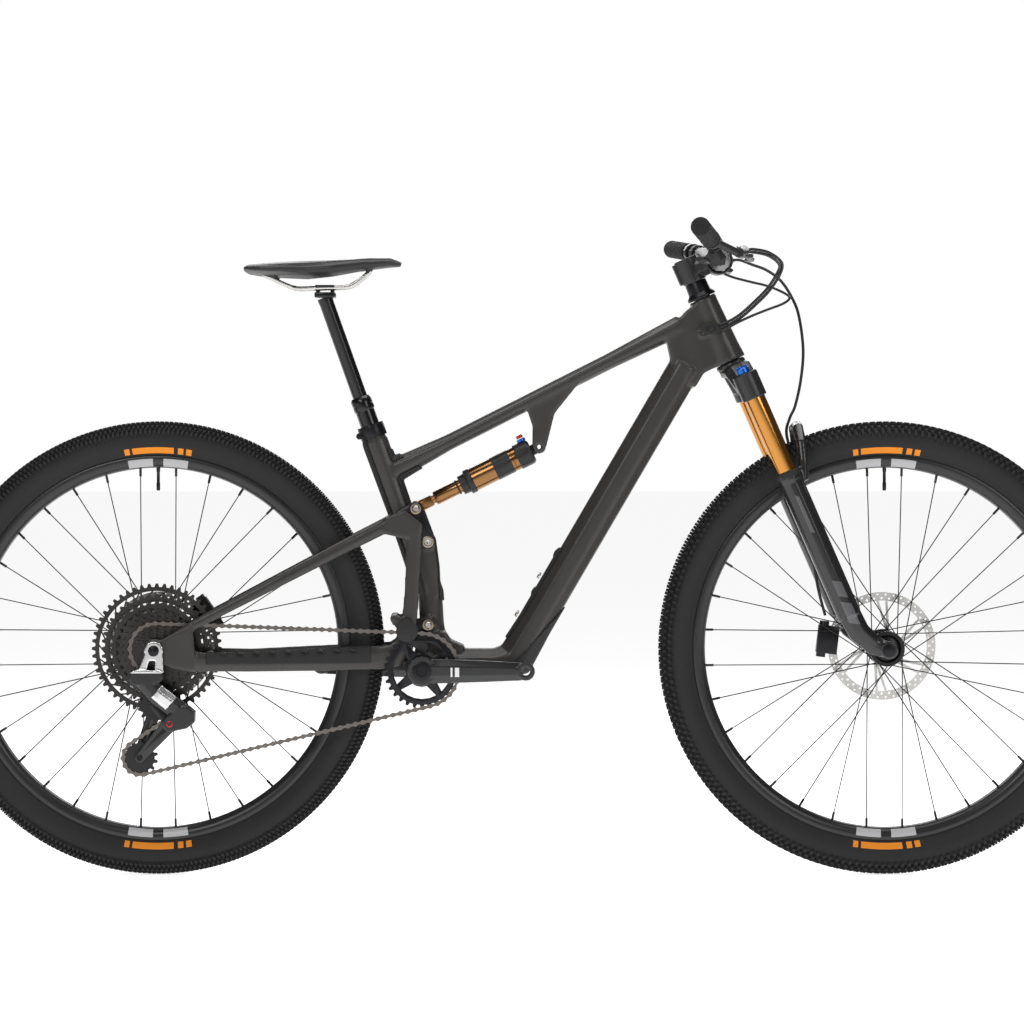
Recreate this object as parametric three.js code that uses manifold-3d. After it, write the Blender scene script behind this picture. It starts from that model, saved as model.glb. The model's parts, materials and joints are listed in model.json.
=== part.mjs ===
// Full-suspension mountain bike, modelled as an assembly of separate pieces.
// Millimetres. +X is forward, +Y is the rider's left, +Z is up. The drive side is -Y.
// The origin is on the ground, midway between the two axles.

import * as THREE from 'three';
import { mergeVertices } from 'three/addons/utils/BufferGeometryUtils.js';
import Module from 'manifold-3d';

const wasm = await Module();
wasm.setup();

// ---------------------------------------------------------------- driving dimensions

const FIT = 0.3;                 // gap between two pieces that touch

const WHEELBASE = 1201.5;
const WHEEL_RADIUS = 375;        // over the tread
const TYRE_HALF_WIDTH = 30;
const RIM_HEIGHT = 20;           // inner edge to flange
const RIM_HALF_WIDTH = 17;
const TYRE_HEIGHT = 58;          // flange to tread
const SPOKES_PER_FLANGE = 16;
const SPOKE_RADIUS = 0.9;
const WHEEL_SEGMENTS = 32;

const STAY_CLEARANCE = 62;       // chainstay run beyond the wheel radius
const BB_DROP = 34.4;            // bottom bracket below the axles
const BB_SHELL_RADIUS = 29;
const BB_SHELL_HALF_WIDTH = 36.5;
const BB_CUP_HALF_WIDTH = 46;
const SPINDLE_RADIUS = 14.5;

const HEAD_ANGLE = THREE.MathUtils.degToRad(66.5);
const HEAD_TUBE_LENGTH = 115;
const FORK_OFFSET = 46;
const FORK_TRAVEL = 130;
const CROWN_CLEARANCE = 26.4;    // tyre to crown race with the fork fully in
const STEERER_RADIUS = 14.3;
const STANCHION_RADIUS = 17;
const STANCHION_SPREAD = 65;     // from the middle to each leg
const STANCHION_LEAD = 9;        // legs ahead of the steering axis
const LEG_WALL = 2.4;
const FRONT_HUB_HALF = 55;
const FRONT_AXLE_RADIUS = 7.5;

const REAR_HUB_HALF = 74;
const REAR_AXLE_RADIUS = 6;
const DROPOUT_THICK = 10;
const ROTOR_RADIUS = 90;
const ROTOR_THICK = 1.9;
const ROTOR_INSET = 15.5;        // rotor inboard of the dropout

const SEAT_ANGLE = THREE.MathUtils.degToRad(70.44);
const SEATPOST_RADIUS = 15.8;    // outer tube of the dropper post
const INNER_POST_RADIUS = 12.2;
const DROPPER_TRAVEL = 150;
const SEAT_TUBE_WALL = 2.2;

const PIVOT_RADIUS = 6;
const LINK_THICK = 6;
const LINK_EYE = 12;
const CLEVIS_INNER = 20.2;       // the shock clevis straddles the seat tube here
const CLEVIS_THICK = 5;

const SHOCK_LENGTH_SHAFT_START = 145;
const SHOCK_SHAFT_RADIUS = 11.5;
const SHOCK_CAN_RADIUS = 19.8;

const CHAIN_PITCH = 12.7;
const CHAIN_HALF_WIDTH = 2.5;
const CHAIN_HALF_HEIGHT = 4.2;
const CHAINLINE = 50;            // chain plane, out from the middle
const RING_TEETH = 30;
const COG_TEETH = [52, 44, 38, 32, 28, 24, 21, 18, 16, 14, 12, 10];
const CHAIN_COG = 6;             // index of the cog that the chain is on
const COG_SPACING = 3.5;
const COG_HALF_THICK = 0.7;
const PULLEY_TEETH = 14;
const CRANK_LENGTH = 170;
const CRANK_HALF_THICK = 7;
const CRANK_INNER = 62;          // inner face of the arms at the spindle

const BAR_HALF_LENGTH = 382;
const BAR_CLAMP_RADIUS = 17.5;
const BAR_END_RADIUS = 11.1;
const GRIP_RADIUS = 15.6;
const GRIP_LENGTH = 132;
const STEM_LENGTH = 48.4;
const HOSE_RADIUS = 2.5;
const HOUSING_RADIUS = 2.2;

// ---------------------------------------------------------------- helpers

const ACROSS = new THREE.Vector3(0, 1, 0);
const FORWARD = new THREE.Vector3(1, 0, 0);
const UP = new THREE.Vector3(0, 0, 1);

/** A closed manifold-3d solid with the geometry's shape. */
function solidOf(geometry) {
  const bare = geometry.clone();
  bare.deleteAttribute('normal');
  bare.deleteAttribute('uv');
  const merged = mergeVertices(bare, 1e-3);
  return new wasm.Manifold(new wasm.Mesh({
    numProp: 3,
    vertProperties: new Float32Array(merged.attributes.position.array),
    triVerts: new Uint32Array(merged.index.array),
  }));
}

/** A three.js geometry with the solid's shape. */
function geometryOf(solid) {
  const { vertProperties, triVerts } = solid.getMesh();
  const geometry = new THREE.BufferGeometry();
  geometry.setAttribute('position', new THREE.BufferAttribute(vertProperties, 3));
  geometry.setIndex(new THREE.BufferAttribute(triVerts, 1));
  geometry.computeVertexNormals();
  return geometry;
}

/** One body made of overlapping geometries. */
function join(...geometries) {
  return geometryOf(geometries.map(solidOf).reduce((whole, piece) => whole.add(piece)));
}

/** The first geometry with the others taken away from it. */
function cut(geometry, ...tools) {
  return geometryOf(tools.map(solidOf).reduce((whole, tool) => whole.subtract(tool), solidOf(geometry)));
}

/** A flat plate: an outline of [x, z] points, centred on y. */
function plate(outline, y, thick, bevel = 0) {
  const shape = new THREE.Shape(outline.map(([x, z]) => new THREE.Vector2(x, z)));
  const depth = thick - 2 * bevel;
  const geometry = new THREE.ExtrudeGeometry(shape, {
    depth,
    bevelEnabled: bevel > 0,
    bevelThickness: bevel,
    bevelSize: bevel,
    bevelOffset: -bevel,
    bevelSegments: 1,
    steps: 1,
  });
  return geometry.rotateX(Math.PI / 2).translate(0, y + depth / 2, 0);
}

/** The outline of a plate with round ends: circles of [x, z, radius] joined by their outer tangents. */
function roundedOutline([x1, z1, r1], [x2, z2, r2], steps = 4) {
  const heading = Math.atan2(z2 - z1, x2 - x1);
  const spread = Math.acos((r1 - r2) / Math.hypot(x2 - x1, z2 - z1));
  const arc = (x, z, r, from, to) => Array.from({ length: steps + 1 }, (_, i) => {
    const angle = from + (to - from) * i / steps;
    return [x + r * Math.cos(angle), z + r * Math.sin(angle)];
  });
  return [
    ...arc(x1, z1, r1, heading + spread, heading + 2 * Math.PI - spread),
    ...arc(x2, z2, r2, heading - spread, heading + spread),
  ];
}

/** A cylinder whose axis runs across the bike. */
function disc([x, z], radius, y, thick, segments = 16) {
  return new THREE.CylinderGeometry(radius, radius, thick, segments).translate(x, y, z);
}

/** A straight round bar between two points. */
function rod(from, to, radius, segments = 12) {
  const start = new THREE.Vector3(...from);
  const end = new THREE.Vector3(...to);
  const along = end.clone().sub(start);
  const geometry = new THREE.CylinderGeometry(radius, radius, along.length(), segments);
  geometry.applyQuaternion(new THREE.Quaternion().setFromUnitVectors(ACROSS, along.clone().normalize()));
  return geometry.translate(...start.add(end).multiplyScalar(0.5));
}

/** A body turned about an axis across the bike, from a closed profile of [radius, y] points. */
function turned(profile, segments = 20) {
  return new THREE.LatheGeometry([...profile, profile[0]].map((p) => new THREE.Vector2(...p)), segments);
}

/** A body turned about the upright axis, from a closed profile of [radius, z] points. */
function turnedUpright(profile, segments = 20) {
  return turned(profile, segments).rotateX(Math.PI / 2);
}

/** A box from its middle and its full sizes. */
function box([x, y, z], [sx, sy, sz]) {
  return new THREE.BoxGeometry(sx, sy, sz).translate(x, y, z);
}

/** A tube through stations of [x, y, z, halfWide, halfDeep]; halfWide is measured along `across`. */
function loft(stations, across = ACROSS, sides = 10) {
  const last = stations.length - 1;
  const flat = 1 / Math.cos(Math.PI / sides);
  const centres = stations.map(([x, y, z]) => new THREE.Vector3(x, y, z));
  const frames = centres.map((centre, i) => {
    const along = centres[Math.min(i + 1, last)].clone().sub(centres[Math.max(i - 1, 0)]).normalize();
    const deep = new THREE.Vector3().crossVectors(along, across).normalize();
    return { deep, wide: new THREE.Vector3().crossVectors(deep, along) };
  });
  const geometry = new THREE.CylinderGeometry(flat, flat, 1, sides, last).rotateY(Math.PI / sides);
  const position = geometry.attributes.position;
  for (let v = 0; v < position.count; v += 1) {
    const i = Math.round((0.5 - position.getY(v)) * last);
    const [, , , halfWide, halfDeep = halfWide] = stations[i];
    const point = centres[i].clone()
      .addScaledVector(frames[i].wide, position.getX(v) * halfWide)
      .addScaledVector(frames[i].deep, position.getZ(v) * halfDeep);
    position.setXYZ(v, point.x, point.y, point.z);
  }
  return geometry;
}

/** A round or flattened cord along a smooth curve through points. */
function cord(points, radius, steps, spread = 0) {
  const section = new THREE.Shape();
  const sides = 8;
  for (let i = 0; i < sides; i += 1) {
    const angle = (i + 0.5) * 2 * Math.PI / sides;
    const shift = spread * Math.sign(Math.sin(angle));
    section[i ? 'lineTo' : 'moveTo'](radius * Math.cos(angle), radius * Math.sin(angle) + shift);
  }
  const path = new THREE.CatmullRomCurve3(points.map((p) => new THREE.Vector3(...p)));
  return new THREE.ExtrudeGeometry(section, { steps, bevelEnabled: false, extrudePath: path });
}

const bike = new THREE.Group();

/** A named piece with its own finish. */
function add(name, geometry, color, roughness, metalness, parent = bike) {
  const material = new THREE.MeshStandardMaterial({ color, roughness, metalness });
  const mesh = new THREE.Mesh(geometry, material);
  mesh.name = name;
  parent.add(mesh);
  return mesh;
}

const BLACK = 0x17171a;
const CARBON = 0x2f2c2a;
const ANODISED = 0x1c1c1f;
const RUBBER = 0x1a1a1a;
const STEEL = 0xb9bcc0;
const GOLD = 0x9a6420;

const SIDES = [['right', -1], ['left', 1]];

// ---------------------------------------------------------------- hard points

const rearAxle = [-WHEELBASE / 2, WHEEL_RADIUS];
const frontAxle = [WHEELBASE / 2, WHEEL_RADIUS];
const bracket = [rearAxle[0] + WHEEL_RADIUS + STAY_CLEARANCE, WHEEL_RADIUS - BB_DROP];

/** A point given from the bottom bracket. */
const fromBracket = (dx, dz) => [bracket[0] + dx, bracket[1] + dz];

const lowerFramePivot = fromBracket(9.7, 73.5);
const lowerStayPivot = fromBracket(-28.7, 63.9);
const upperStayPivot = fromBracket(-10.5, 264.6);
const upperFramePivot = fromBracket(9.6, 210.2);
const shockPivot = fromBracket(193.1, 366.4);
const seatTubeTop = fromBracket(-86.7, 402.4);
const guideTab = fromBracket(2, 38);

const axleToCrown = WHEEL_RADIUS + FORK_TRAVEL + CROWN_CLEARANCE;
const steeringTilt = Math.PI / 2 - HEAD_ANGLE;
const crownRace = [
  frontAxle[0] - FORK_OFFSET * Math.cos(steeringTilt) - axleToCrown * Math.sin(steeringTilt),
  frontAxle[1] - FORK_OFFSET * Math.sin(steeringTilt) + axleToCrown * Math.cos(steeringTilt),
];

/** A point given ahead of and along the steering axis, from the crown race. */
function fromCrown(ahead, along) {
  return [
    crownRace[0] + ahead * Math.cos(steeringTilt) - along * Math.sin(steeringTilt),
    crownRace[1] + ahead * Math.sin(steeringTilt) + along * Math.cos(steeringTilt),
  ];
}

/** A point up the seat tube from its top, and ahead of its axis. */
function fromSeatTop(up, ahead = 0) {
  return [
    seatTubeTop[0] - up * Math.cos(SEAT_ANGLE) + ahead * Math.sin(SEAT_ANGLE),
    seatTubeTop[1] + up * Math.sin(SEAT_ANGLE) + ahead * Math.cos(SEAT_ANGLE),
  ];
}

/** The point a share of the way between two. */
const between = ([x1, z1], [x2, z2], share) => [x1 + (x2 - x1) * share, z1 + (z2 - z1) * share];

/** A loft station in the middle plane. */
const middle = ([x, z], halfWide, halfDeep) => [x, 0, z, halfWide, halfDeep];

const HEADSET_STACK = 4;
const cablePort = fromCrown(-4, 65);

const clevisOuter = CLEVIS_INNER + CLEVIS_THICK;
const earInner = clevisOuter + 0.5;
const EAR_THICK = 5.5;
const earOuter = earInner + EAR_THICK;
const linkInner = earOuter + 0.5;
const linkOuter = linkInner + LINK_THICK;
const uprightInner = linkOuter + 0.5;
const uprightOuter = CHAINLINE - CHAIN_HALF_WIDTH - 1.5;

// ---------------------------------------------------------------- front frame

const seatBoreRadius = SEATPOST_RADIUS + FIT;
const seatTubeRadius = seatBoreRadius + SEAT_TUBE_WALL;
const OUTER_TUBE_DEPTH = 245;
const SEAT_CLAMP_HEIGHT = 24;

function frontFrame() {
  const keelFoot = fromBracket(153, 16);
  const downTubeTop = fromCrown(-68, 28);
  const downTube = loft([
    middle(fromBracket(12, 4), 33, 22),
    middle(fromBracket(74, 9), 32, 24),
    middle(fromBracket(120, 8), 30, 25),
    middle(keelFoot, 29, 31),
    middle(between(keelFoot, downTubeTop, 0.12), 28, 27),
    middle(between(keelFoot, downTubeTop, 0.5), 27, 27),
    middle(downTubeTop, 25, 27),
  ], ACROSS, 8);

  const topTubeFront = fromCrown(-50, 92);
  const topTubeRear = fromSeatTop(-84, 8);
  const topTube = loft([
    middle(topTubeFront, 21, 17),
    middle(between(topTubeFront, topTubeRear, 0.25), 20, 13),
    middle(between(topTubeFront, topTubeRear, 0.8), 19, 13),
    middle(between(topTubeFront, topTubeRear, 0.93), 18, 17),
    middle(topTubeRear, 17, 20),
  ], ACROSS, 8);

  const headBox = plate([
    fromCrown(-6, 118), fromCrown(-34, 110), fromCrown(-62, 98), fromCrown(-82, 80), fromCrown(-88, 50),
    fromCrown(-98, 10), fromCrown(-70, -12), fromCrown(-48, 4), fromCrown(-8, 6),
  ], 0, 40);

  const seatTube = loft([
    middle(seatTubeTop, seatTubeRadius, seatTubeRadius),
    middle(fromSeatTop(-SEAT_CLAMP_HEIGHT), seatTubeRadius, seatTubeRadius),
    middle(fromSeatTop(-SEAT_CLAMP_HEIGHT - 3), 19.4, 20.5),
    middle(fromSeatTop(-150), 19.4, 19),
    middle(fromSeatTop(-220), 19.4, 20),
    middle(fromSeatTop(-262), 19.4, 21),
    middle(fromBracket(13, 124), 19.4, 20),
    middle(fromBracket(16, 72), 22, 20),
    middle(fromBracket(16, 22), 26, 30),
  ]);

  const upperLug = disc(upperFramePivot, 11, 0, 2 * earOuter, 14);
  const upperWeb = plate([
    fromBracket(-12, 220), fromBracket(10, 221), fromBracket(20, 212), fromBracket(26, 168),
    fromBracket(28, 120), fromBracket(0, 120),
  ], 0, 36);
  const lowerLug = disc(lowerFramePivot, 13, 0, 2 * earOuter, 14);
  const shell = disc(bracket, BB_SHELL_RADIUS, 0, 2 * BB_SHELL_HALF_WIDTH, 16);
  const rearGusset = plate([
    fromBracket(20, 60), fromBracket(38, 62), fromBracket(47, 48), fromBracket(70, 38), fromBracket(60, 10),
    fromBracket(20, 10),
  ], 0, 46);

  const eyeHalf = 12.3;
  const earWidth = 5.5;
  /** The point of the top tube's line a distance ahead of the shock pivot. */
  const gussetRoot = (ahead) => between(topTubeFront, topTubeRear,
    (topTubeFront[0] - shockPivot[0] - ahead) / (topTubeFront[0] - topTubeRear[0]));
  const shockEars = [-1, 1].map((side) => plate([
    gussetRoot(-23.84), gussetRoot(81.53), [shockPivot[0] + 26, shockPivot[1] + 55],
    [shockPivot[0] + 13, shockPivot[1] + 2], [shockPivot[0] + 8, shockPivot[1] - 9],
    [shockPivot[0], shockPivot[1] - 12.5], [shockPivot[0] - 9, shockPivot[1] - 8],
    [shockPivot[0] - 12, shockPivot[1] + 2], [shockPivot[0] - 11, shockPivot[1] + 33],
  ], side * (eyeHalf + FIT + earWidth / 2), earWidth));

  const headTubeTop = HEADSET_STACK + HEAD_TUBE_LENGTH;
  const headTube = turnedUpright([
    [0, HEADSET_STACK], [28, HEADSET_STACK], [26, HEADSET_STACK + 26], [23, headTubeTop - 20],
    [23, headTubeTop], [0, headTubeTop],
  ], 16).rotateY(-steeringTilt).translate(crownRace[0], 0, crownRace[1]);

  const bosses = [0.2, 0.33].map((share) => {
    const [x, z] = between(keelFoot, downTubeTop, share);
    const heading = Math.atan2(downTubeTop[1] - keelFoot[1], downTubeTop[0] - keelFoot[0]);
    const lift = (height) => [x - height * Math.sin(heading), 0, z + height * Math.cos(heading)];
    return rod(lift(20), lift(30), 6, 10);
  });

  const tab = disc(guideTab, 8, -(BB_SHELL_HALF_WIDTH + 14) / 2, BB_SHELL_HALF_WIDTH - 14);
  const port = loft([
    [...at3(cablePort, -20), 6, 4], [...at3([cablePort[0] - 22, cablePort[1] - 9], -20), 6, 4],
  ], ACROSS, 8).translate(0, -4, 0);

  const whole = join(downTube, topTube, headBox, headTube, seatTube, upperLug, upperWeb, lowerLug, shell,
    rearGusset, tab, port, ...shockEars, ...bosses);

  const [boreTop, boreFoot] = [fromSeatTop(5), fromSeatTop(-OUTER_TUBE_DEPTH - 5)];
  const [steererFoot, steererTop] = [fromCrown(0, 0), fromCrown(0, headTubeTop + 5)];
  return cut(
    whole,
    rod([boreTop[0], 0, boreTop[1]], [boreFoot[0], 0, boreFoot[1]], seatBoreRadius, 16),
    rod([steererFoot[0], 0, steererFoot[1]], [steererTop[0], 0, steererTop[1]], 18, 14),
    disc(bracket, 21 + FIT, 0, 3 * BB_SHELL_HALF_WIDTH),
    disc(upperFramePivot, PIVOT_RADIUS + FIT, 0, 3 * earOuter, 12),
    disc(lowerFramePivot, PIVOT_RADIUS + FIT, 0, 3 * earOuter, 12),
    disc(shockPivot, 4, 0, 60, 8),
  );
}

add('front_frame', frontFrame(), CARBON, 0.45, 0.1);

// ---------------------------------------------------------------- seat clamp, post and saddle

const seatGroup = new THREE.Group();
seatGroup.position.set(seatTubeTop[0], 0, seatTubeTop[1]);
seatGroup.rotation.y = SEAT_ANGLE - Math.PI / 2;
bike.add(seatGroup);

const clampInner = seatTubeRadius / Math.cos(Math.PI / 10) + FIT;
const CLAMP_WALL = 2.6;
const seatClamp = cut(
  join(
    turnedUpright([
      [0, 2 - SEAT_CLAMP_HEIGHT], [clampInner + CLAMP_WALL, 2 - SEAT_CLAMP_HEIGHT],
      [clampInner + CLAMP_WALL, 0], [0, 0],
    ]),
    rod([-clampInner - 3, -9, -12], [-clampInner - 3, 9, -12], 5.5, 12),
  ),
  rod([0, 0, -40], [0, 0, 10], clampInner, 20),
);
add('seat_clamp', seatClamp, ANODISED, 0.4, 0.8, seatGroup);

const COLLAR_FOOT = 25;
const COLLAR_TOP = 49;
const POST_REST_FOOT = -40;
const postBore = INNER_POST_RADIUS + FIT;
add('dropper_outer_tube', turnedUpright([
  [postBore, -OUTER_TUBE_DEPTH], [SEATPOST_RADIUS, -OUTER_TUBE_DEPTH], [SEATPOST_RADIUS, COLLAR_FOOT],
  [SEATPOST_RADIUS + 1.7, COLLAR_FOOT + 3], [SEATPOST_RADIUS + 1.7, COLLAR_TOP - 4],
  [SEATPOST_RADIUS - 1, COLLAR_TOP], [postBore, COLLAR_TOP],
], 16), BLACK, 0.35, 0.7, seatGroup);

const RAIL_RADIUS = 3.5;
const RAIL_SPREAD = 22;
const POST_TOP = COLLAR_TOP + DROPPER_TRAVEL + 22;
const postHead = fromSeatTop(POST_TOP);

/** A point given from the top of the inner post. */
const fromPostHead = (dx, y, dz, ...halves) => [postHead[0] + dx, y, postHead[1] + dz, ...halves];

const rail = (side, radius) => loft([
  fromPostHead(-103, side * 31, 41, radius), fromPostHead(-88, side * 30, 34, radius),
  fromPostHead(-62, side * 25, 22, radius), fromPostHead(-44, side * RAIL_SPREAD, 17, radius),
  fromPostHead(38, side * RAIL_SPREAD, 20, radius), fromPostHead(58, side * 17, 31, radius),
  fromPostHead(76, side * 10, 49, radius),
], ACROSS, 8);

const postStack = join(
  rod(at3(fromSeatTop(POST_REST_FOOT)), at3(fromSeatTop(POST_TOP + 4)), INNER_POST_RADIUS, 14),
  box(fromPostHead(0, 0, 12), [34, 62, 22]),
);
add('dropper_post', cut(postStack, rail(-1, RAIL_RADIUS + FIT), rail(1, RAIL_RADIUS + FIT)), BLACK, 0.3, 0.7);

/** A middle-plane point as three coordinates. */
function at3([x, z], y = 0) {
  return [x, y, z];
}

const saddleShell = loft([
  fromPostHead(-134, 0, 50, 30, 4), fromPostHead(-126, 0, 49, 54, 8), fromPostHead(-104, 0, 48, 69, 10.5),
  fromPostHead(-70, 0, 48, 68, 13), fromPostHead(-30, 0, 48, 46, 15), fromPostHead(10, 0, 51, 29, 14),
  fromPostHead(60, 0, 57, 21, 11), fromPostHead(108, 0, 60, 18, 8), fromPostHead(126, 0, 57, 11, 4),
], ACROSS, 12);
add('saddle', join(saddleShell, rail(-1, RAIL_RADIUS), rail(1, RAIL_RADIUS)), BLACK, 0.6, 0);

// ---------------------------------------------------------------- bottom bracket, cranks and chainring

add('bottom_bracket', turned([
  [SPINDLE_RADIUS + FIT, -BB_CUP_HALF_WIDTH], [23, -BB_CUP_HALF_WIDTH], [23, -BB_SHELL_HALF_WIDTH - FIT],
  [20.5, -BB_SHELL_HALF_WIDTH - FIT], [20.5, BB_SHELL_HALF_WIDTH + FIT], [23, BB_SHELL_HALF_WIDTH + FIT],
  [23, BB_CUP_HALF_WIDTH], [SPINDLE_RADIUS + FIT, BB_CUP_HALF_WIDTH],
], 16), ANODISED, 0.4, 0.8).position.set(bracket[0], 0, bracket[1]);

/** A crank arm pointing forward (+1) or back (-1) on one side of the bike. */
function crankArm(side, heading) {
  const at = (reach, drop, out, halfWide, halfDeep) => [
    bracket[0] + heading * reach, side * (CRANK_INNER + CRANK_HALF_THICK + out), bracket[1] - drop,
    halfWide, halfDeep,
  ];
  const arm = loft([
    at(-4, 0, 0, CRANK_HALF_THICK, 20), at(30, 0, 1, CRANK_HALF_THICK, 20),
    at(CRANK_LENGTH * 0.6, 0, 5, CRANK_HALF_THICK, 17.5), at(CRANK_LENGTH, 0, 8, CRANK_HALF_THICK, 14.5),
  ], ACROSS, 8);
  const boss = disc(bracket, 24, side * (CRANK_INNER + CRANK_HALF_THICK), 2 * CRANK_HALF_THICK, 16);
  const pedal = [bracket[0] + heading * CRANK_LENGTH, bracket[1]];
  const eye = disc(pedal, 15, side * (CRANK_INNER + CRANK_HALF_THICK + 8), 2 * CRANK_HALF_THICK, 14);
  const thread = disc(pedal, 7.1, side * (CRANK_INNER + CRANK_HALF_THICK + 8), 4 * CRANK_HALF_THICK, 12);
  return { solid: join(arm, boss, eye), thread };
}

const rightArm = crankArm(-1, 1);
const leftArm = crankArm(1, -1);
const crankOuter = CRANK_INNER + 2 * CRANK_HALF_THICK;
const spindle = disc(bracket, SPINDLE_RADIUS, 4, 2 * crankOuter - 8, 16);
add('crank_right', cut(join(rightArm.solid, spindle), rightArm.thread), BLACK, 0.35, 0.3);
add('crank_left', cut(leftArm.solid, leftArm.thread,
  disc(bracket, SPINDLE_RADIUS + FIT, crankOuter, 60)), BLACK, 0.35, 0.3);

const pitchRadius = (teeth) => teeth * CHAIN_PITCH / (2 * Math.PI);
const rootRadius = (teeth) => pitchRadius(teeth) - CHAIN_HALF_HEIGHT - FIT;

function chainring() {
  const root = rootRadius(RING_TEETH);
  const rim = turned([[root - 9, -1.2], [root, -1.2], [root, 1.2], [root - 9, 1.2]], 24);
  const hub = turned([[SPINDLE_RADIUS + FIT, -6.5], [27, -6.5], [27, 1.2], [SPINDLE_RADIUS + FIT, 1.2]], 16);
  const arms = [0.4, 1.4, 2.4, 3.4].map((turn) => {
    const angle = turn * Math.PI / 2;
    return plate(roundedOutline([24 * Math.cos(angle), 24 * Math.sin(angle), 9],
      [(root - 6) * Math.cos(angle), (root - 6) * Math.sin(angle), 5], 2), 0, 2.4);
  });
  return join(rim, hub, ...arms);
}
add('chainring', chainring(), BLACK, 0.4, 0.8).position.set(bracket[0], -CHAINLINE, bracket[1]);

// ---------------------------------------------------------------- chain, cassette and derailleur

const guidePulley = [rearAxle[0] + 0.1, rearAxle[1] - 92.5];
const tensionPulley = [rearAxle[0] - 25.9, rearAxle[1] - 178];
const cagePivot = [rearAxle[0] + 25.9, rearAxle[1] - 119.3];
const pulleyPitch = pitchRadius(PULLEY_TEETH);

// The chain's way round, as circles with the sense of each turn: +1 is against the clock.
const chainStops = [
  { at: bracket, radius: pitchRadius(RING_TEETH), sense: 1 },
  { at: rearAxle, radius: pitchRadius(COG_TEETH[CHAIN_COG]), sense: 1 },
  { at: guidePulley, radius: pulleyPitch, sense: -1 },
  { at: tensionPulley, radius: pulleyPitch, sense: 1 },
];

/** The straight run of chain from one stop to the next: where it leaves, where it lands, its heading. */
function chainRun(from, to) {
  const apart = new THREE.Vector2(to.at[0] - from.at[0], to.at[1] - from.at[1]);
  const lean = Math.asin((to.radius * to.sense - from.radius * from.sense) / apart.length());
  const heading = apart.angle() - lean;
  const edge = (stop) => [
    stop.at[0] + stop.radius * stop.sense * Math.sin(heading),
    stop.at[1] - stop.radius * stop.sense * Math.cos(heading),
  ];
  return { leaves: edge(from), lands: edge(to), heading };
}

const runs = chainStops.map((stop, i) => chainRun(stop, chainStops[(i + 1) % chainStops.length]));

/** Points round a stop from where the chain lands to where it leaves. */
function chainWrap(index, steps) {
  const { at, sense } = chainStops[index];
  const landing = runs[(index + runs.length - 1) % runs.length];
  const [start, end] = [landing.heading, runs[index].heading];
  const turn = 2 * Math.PI;
  const sweep = sense * ((sense * (end - start)) % turn + turn) % turn;
  const radius = chainStops[index].radius * sense;
  return Array.from({ length: steps + 1 }, (_, i) => {
    const heading = start + sweep * i / steps;
    return [at[0] + radius * Math.sin(heading), at[1] - radius * Math.cos(heading)];
  });
}

/** A ribbon of chain along a path of [x, z] points. */
function chainRibbon(path) {
  const edge = (offset) => path.map(([x, z], i) => {
    const [before, after] = [path[Math.max(i - 1, 0)], path[Math.min(i + 1, path.length - 1)]];
    const heading = Math.atan2(after[1] - before[1], after[0] - before[0]);
    return [x - offset * Math.sin(heading), z + offset * Math.cos(heading)];
  });
  const outline = [...edge(-CHAIN_HALF_HEIGHT), ...edge(CHAIN_HALF_HEIGHT).reverse()];
  return plate(outline, -CHAINLINE, 2 * CHAIN_HALF_WIDTH);
}

const SPLIT = 0.6;                // between two stretches of chain on one body
const HAND_OVER = 40;             // the swingarm's stretch of chain reaches this far ahead of the cog
const CAGE_SPLIT = 4;             // room for the cage to turn
const nudge = ([x, z], heading, distance) => [
  x + distance * Math.cos(heading), z + distance * Math.sin(heading),
];
add('chain_front', chainRibbon([
  nudge(runs[3].leaves, runs[3].heading, SPLIT), ...chainWrap(0, 14),
  nudge(runs[0].lands, runs[0].heading, -HAND_OVER - SPLIT),
]), STEEL, 0.5, 0.8);
add('chain_rear', chainRibbon([
  nudge(runs[0].lands, runs[0].heading, -HAND_OVER), ...chainWrap(1, 12),
  nudge(runs[1].lands, runs[1].heading, -CAGE_SPLIT),
]), STEEL, 0.5, 0.8);
add('chain_cage', chainRibbon([...chainWrap(2, 8), ...chainWrap(3, 10)]), STEEL, 0.5, 0.8);

const FREEHUB_RADIUS = 16.4;
const HUB_SEGMENTS = 14;
const CASSETTE_BORE = FREEHUB_RADIUS / Math.cos(Math.PI / HUB_SEGMENTS) + FIT;
const cogY = (index) => -(CHAINLINE + (index - CHAIN_COG) * COG_SPACING);
const cogRadius = (index) => {
  const pitch = pitchRadius(COG_TEETH[index]);
  if (index < CHAIN_COG) return pitch + 3.5;
  return index === CHAIN_COG ? rootRadius(COG_TEETH[index]) : pitch + 1.4;
};

function cassette() {
  const steps = COG_TEETH.flatMap((_, index) => {
    const outer = cogY(index) - COG_HALF_THICK;
    const inner = index ? cogY(index - 1) - COG_HALF_THICK : cogY(0) + COG_HALF_THICK;
    return [[cogRadius(index), inner], [cogRadius(index), outer]];
  }).reverse();
  const [outerFace, innerFace] = [steps[0][1], steps[steps.length - 1][1]];
  return turned([[CASSETTE_BORE, outerFace], ...steps, [CASSETTE_BORE, innerFace]], HUB_SEGMENTS);
}
add('cassette', cassette(), BLACK, 0.4, 0.8).position.set(rearAxle[0], 0, rearAxle[1]);

const PULLEY_BORE = 4;
for (const [name, centre] of [['guide_pulley', guidePulley], ['tension_pulley', tensionPulley]]) {
  const root = rootRadius(PULLEY_TEETH);
  add(name, turned([[PULLEY_BORE + FIT, -1.2], [root, -1.2], [root, 1.2], [PULLEY_BORE + FIT, 1.2]], 16),
    BLACK, 0.5, 0.1).position.set(centre[0], -CHAINLINE, centre[1]);
}

const CAGE_GAP = 4.5;            // from the chain plane to a cage plate
const CAGE_THICK = 2.5;
const knuckleInner = CHAINLINE + CAGE_GAP + CAGE_THICK + 5;

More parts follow.
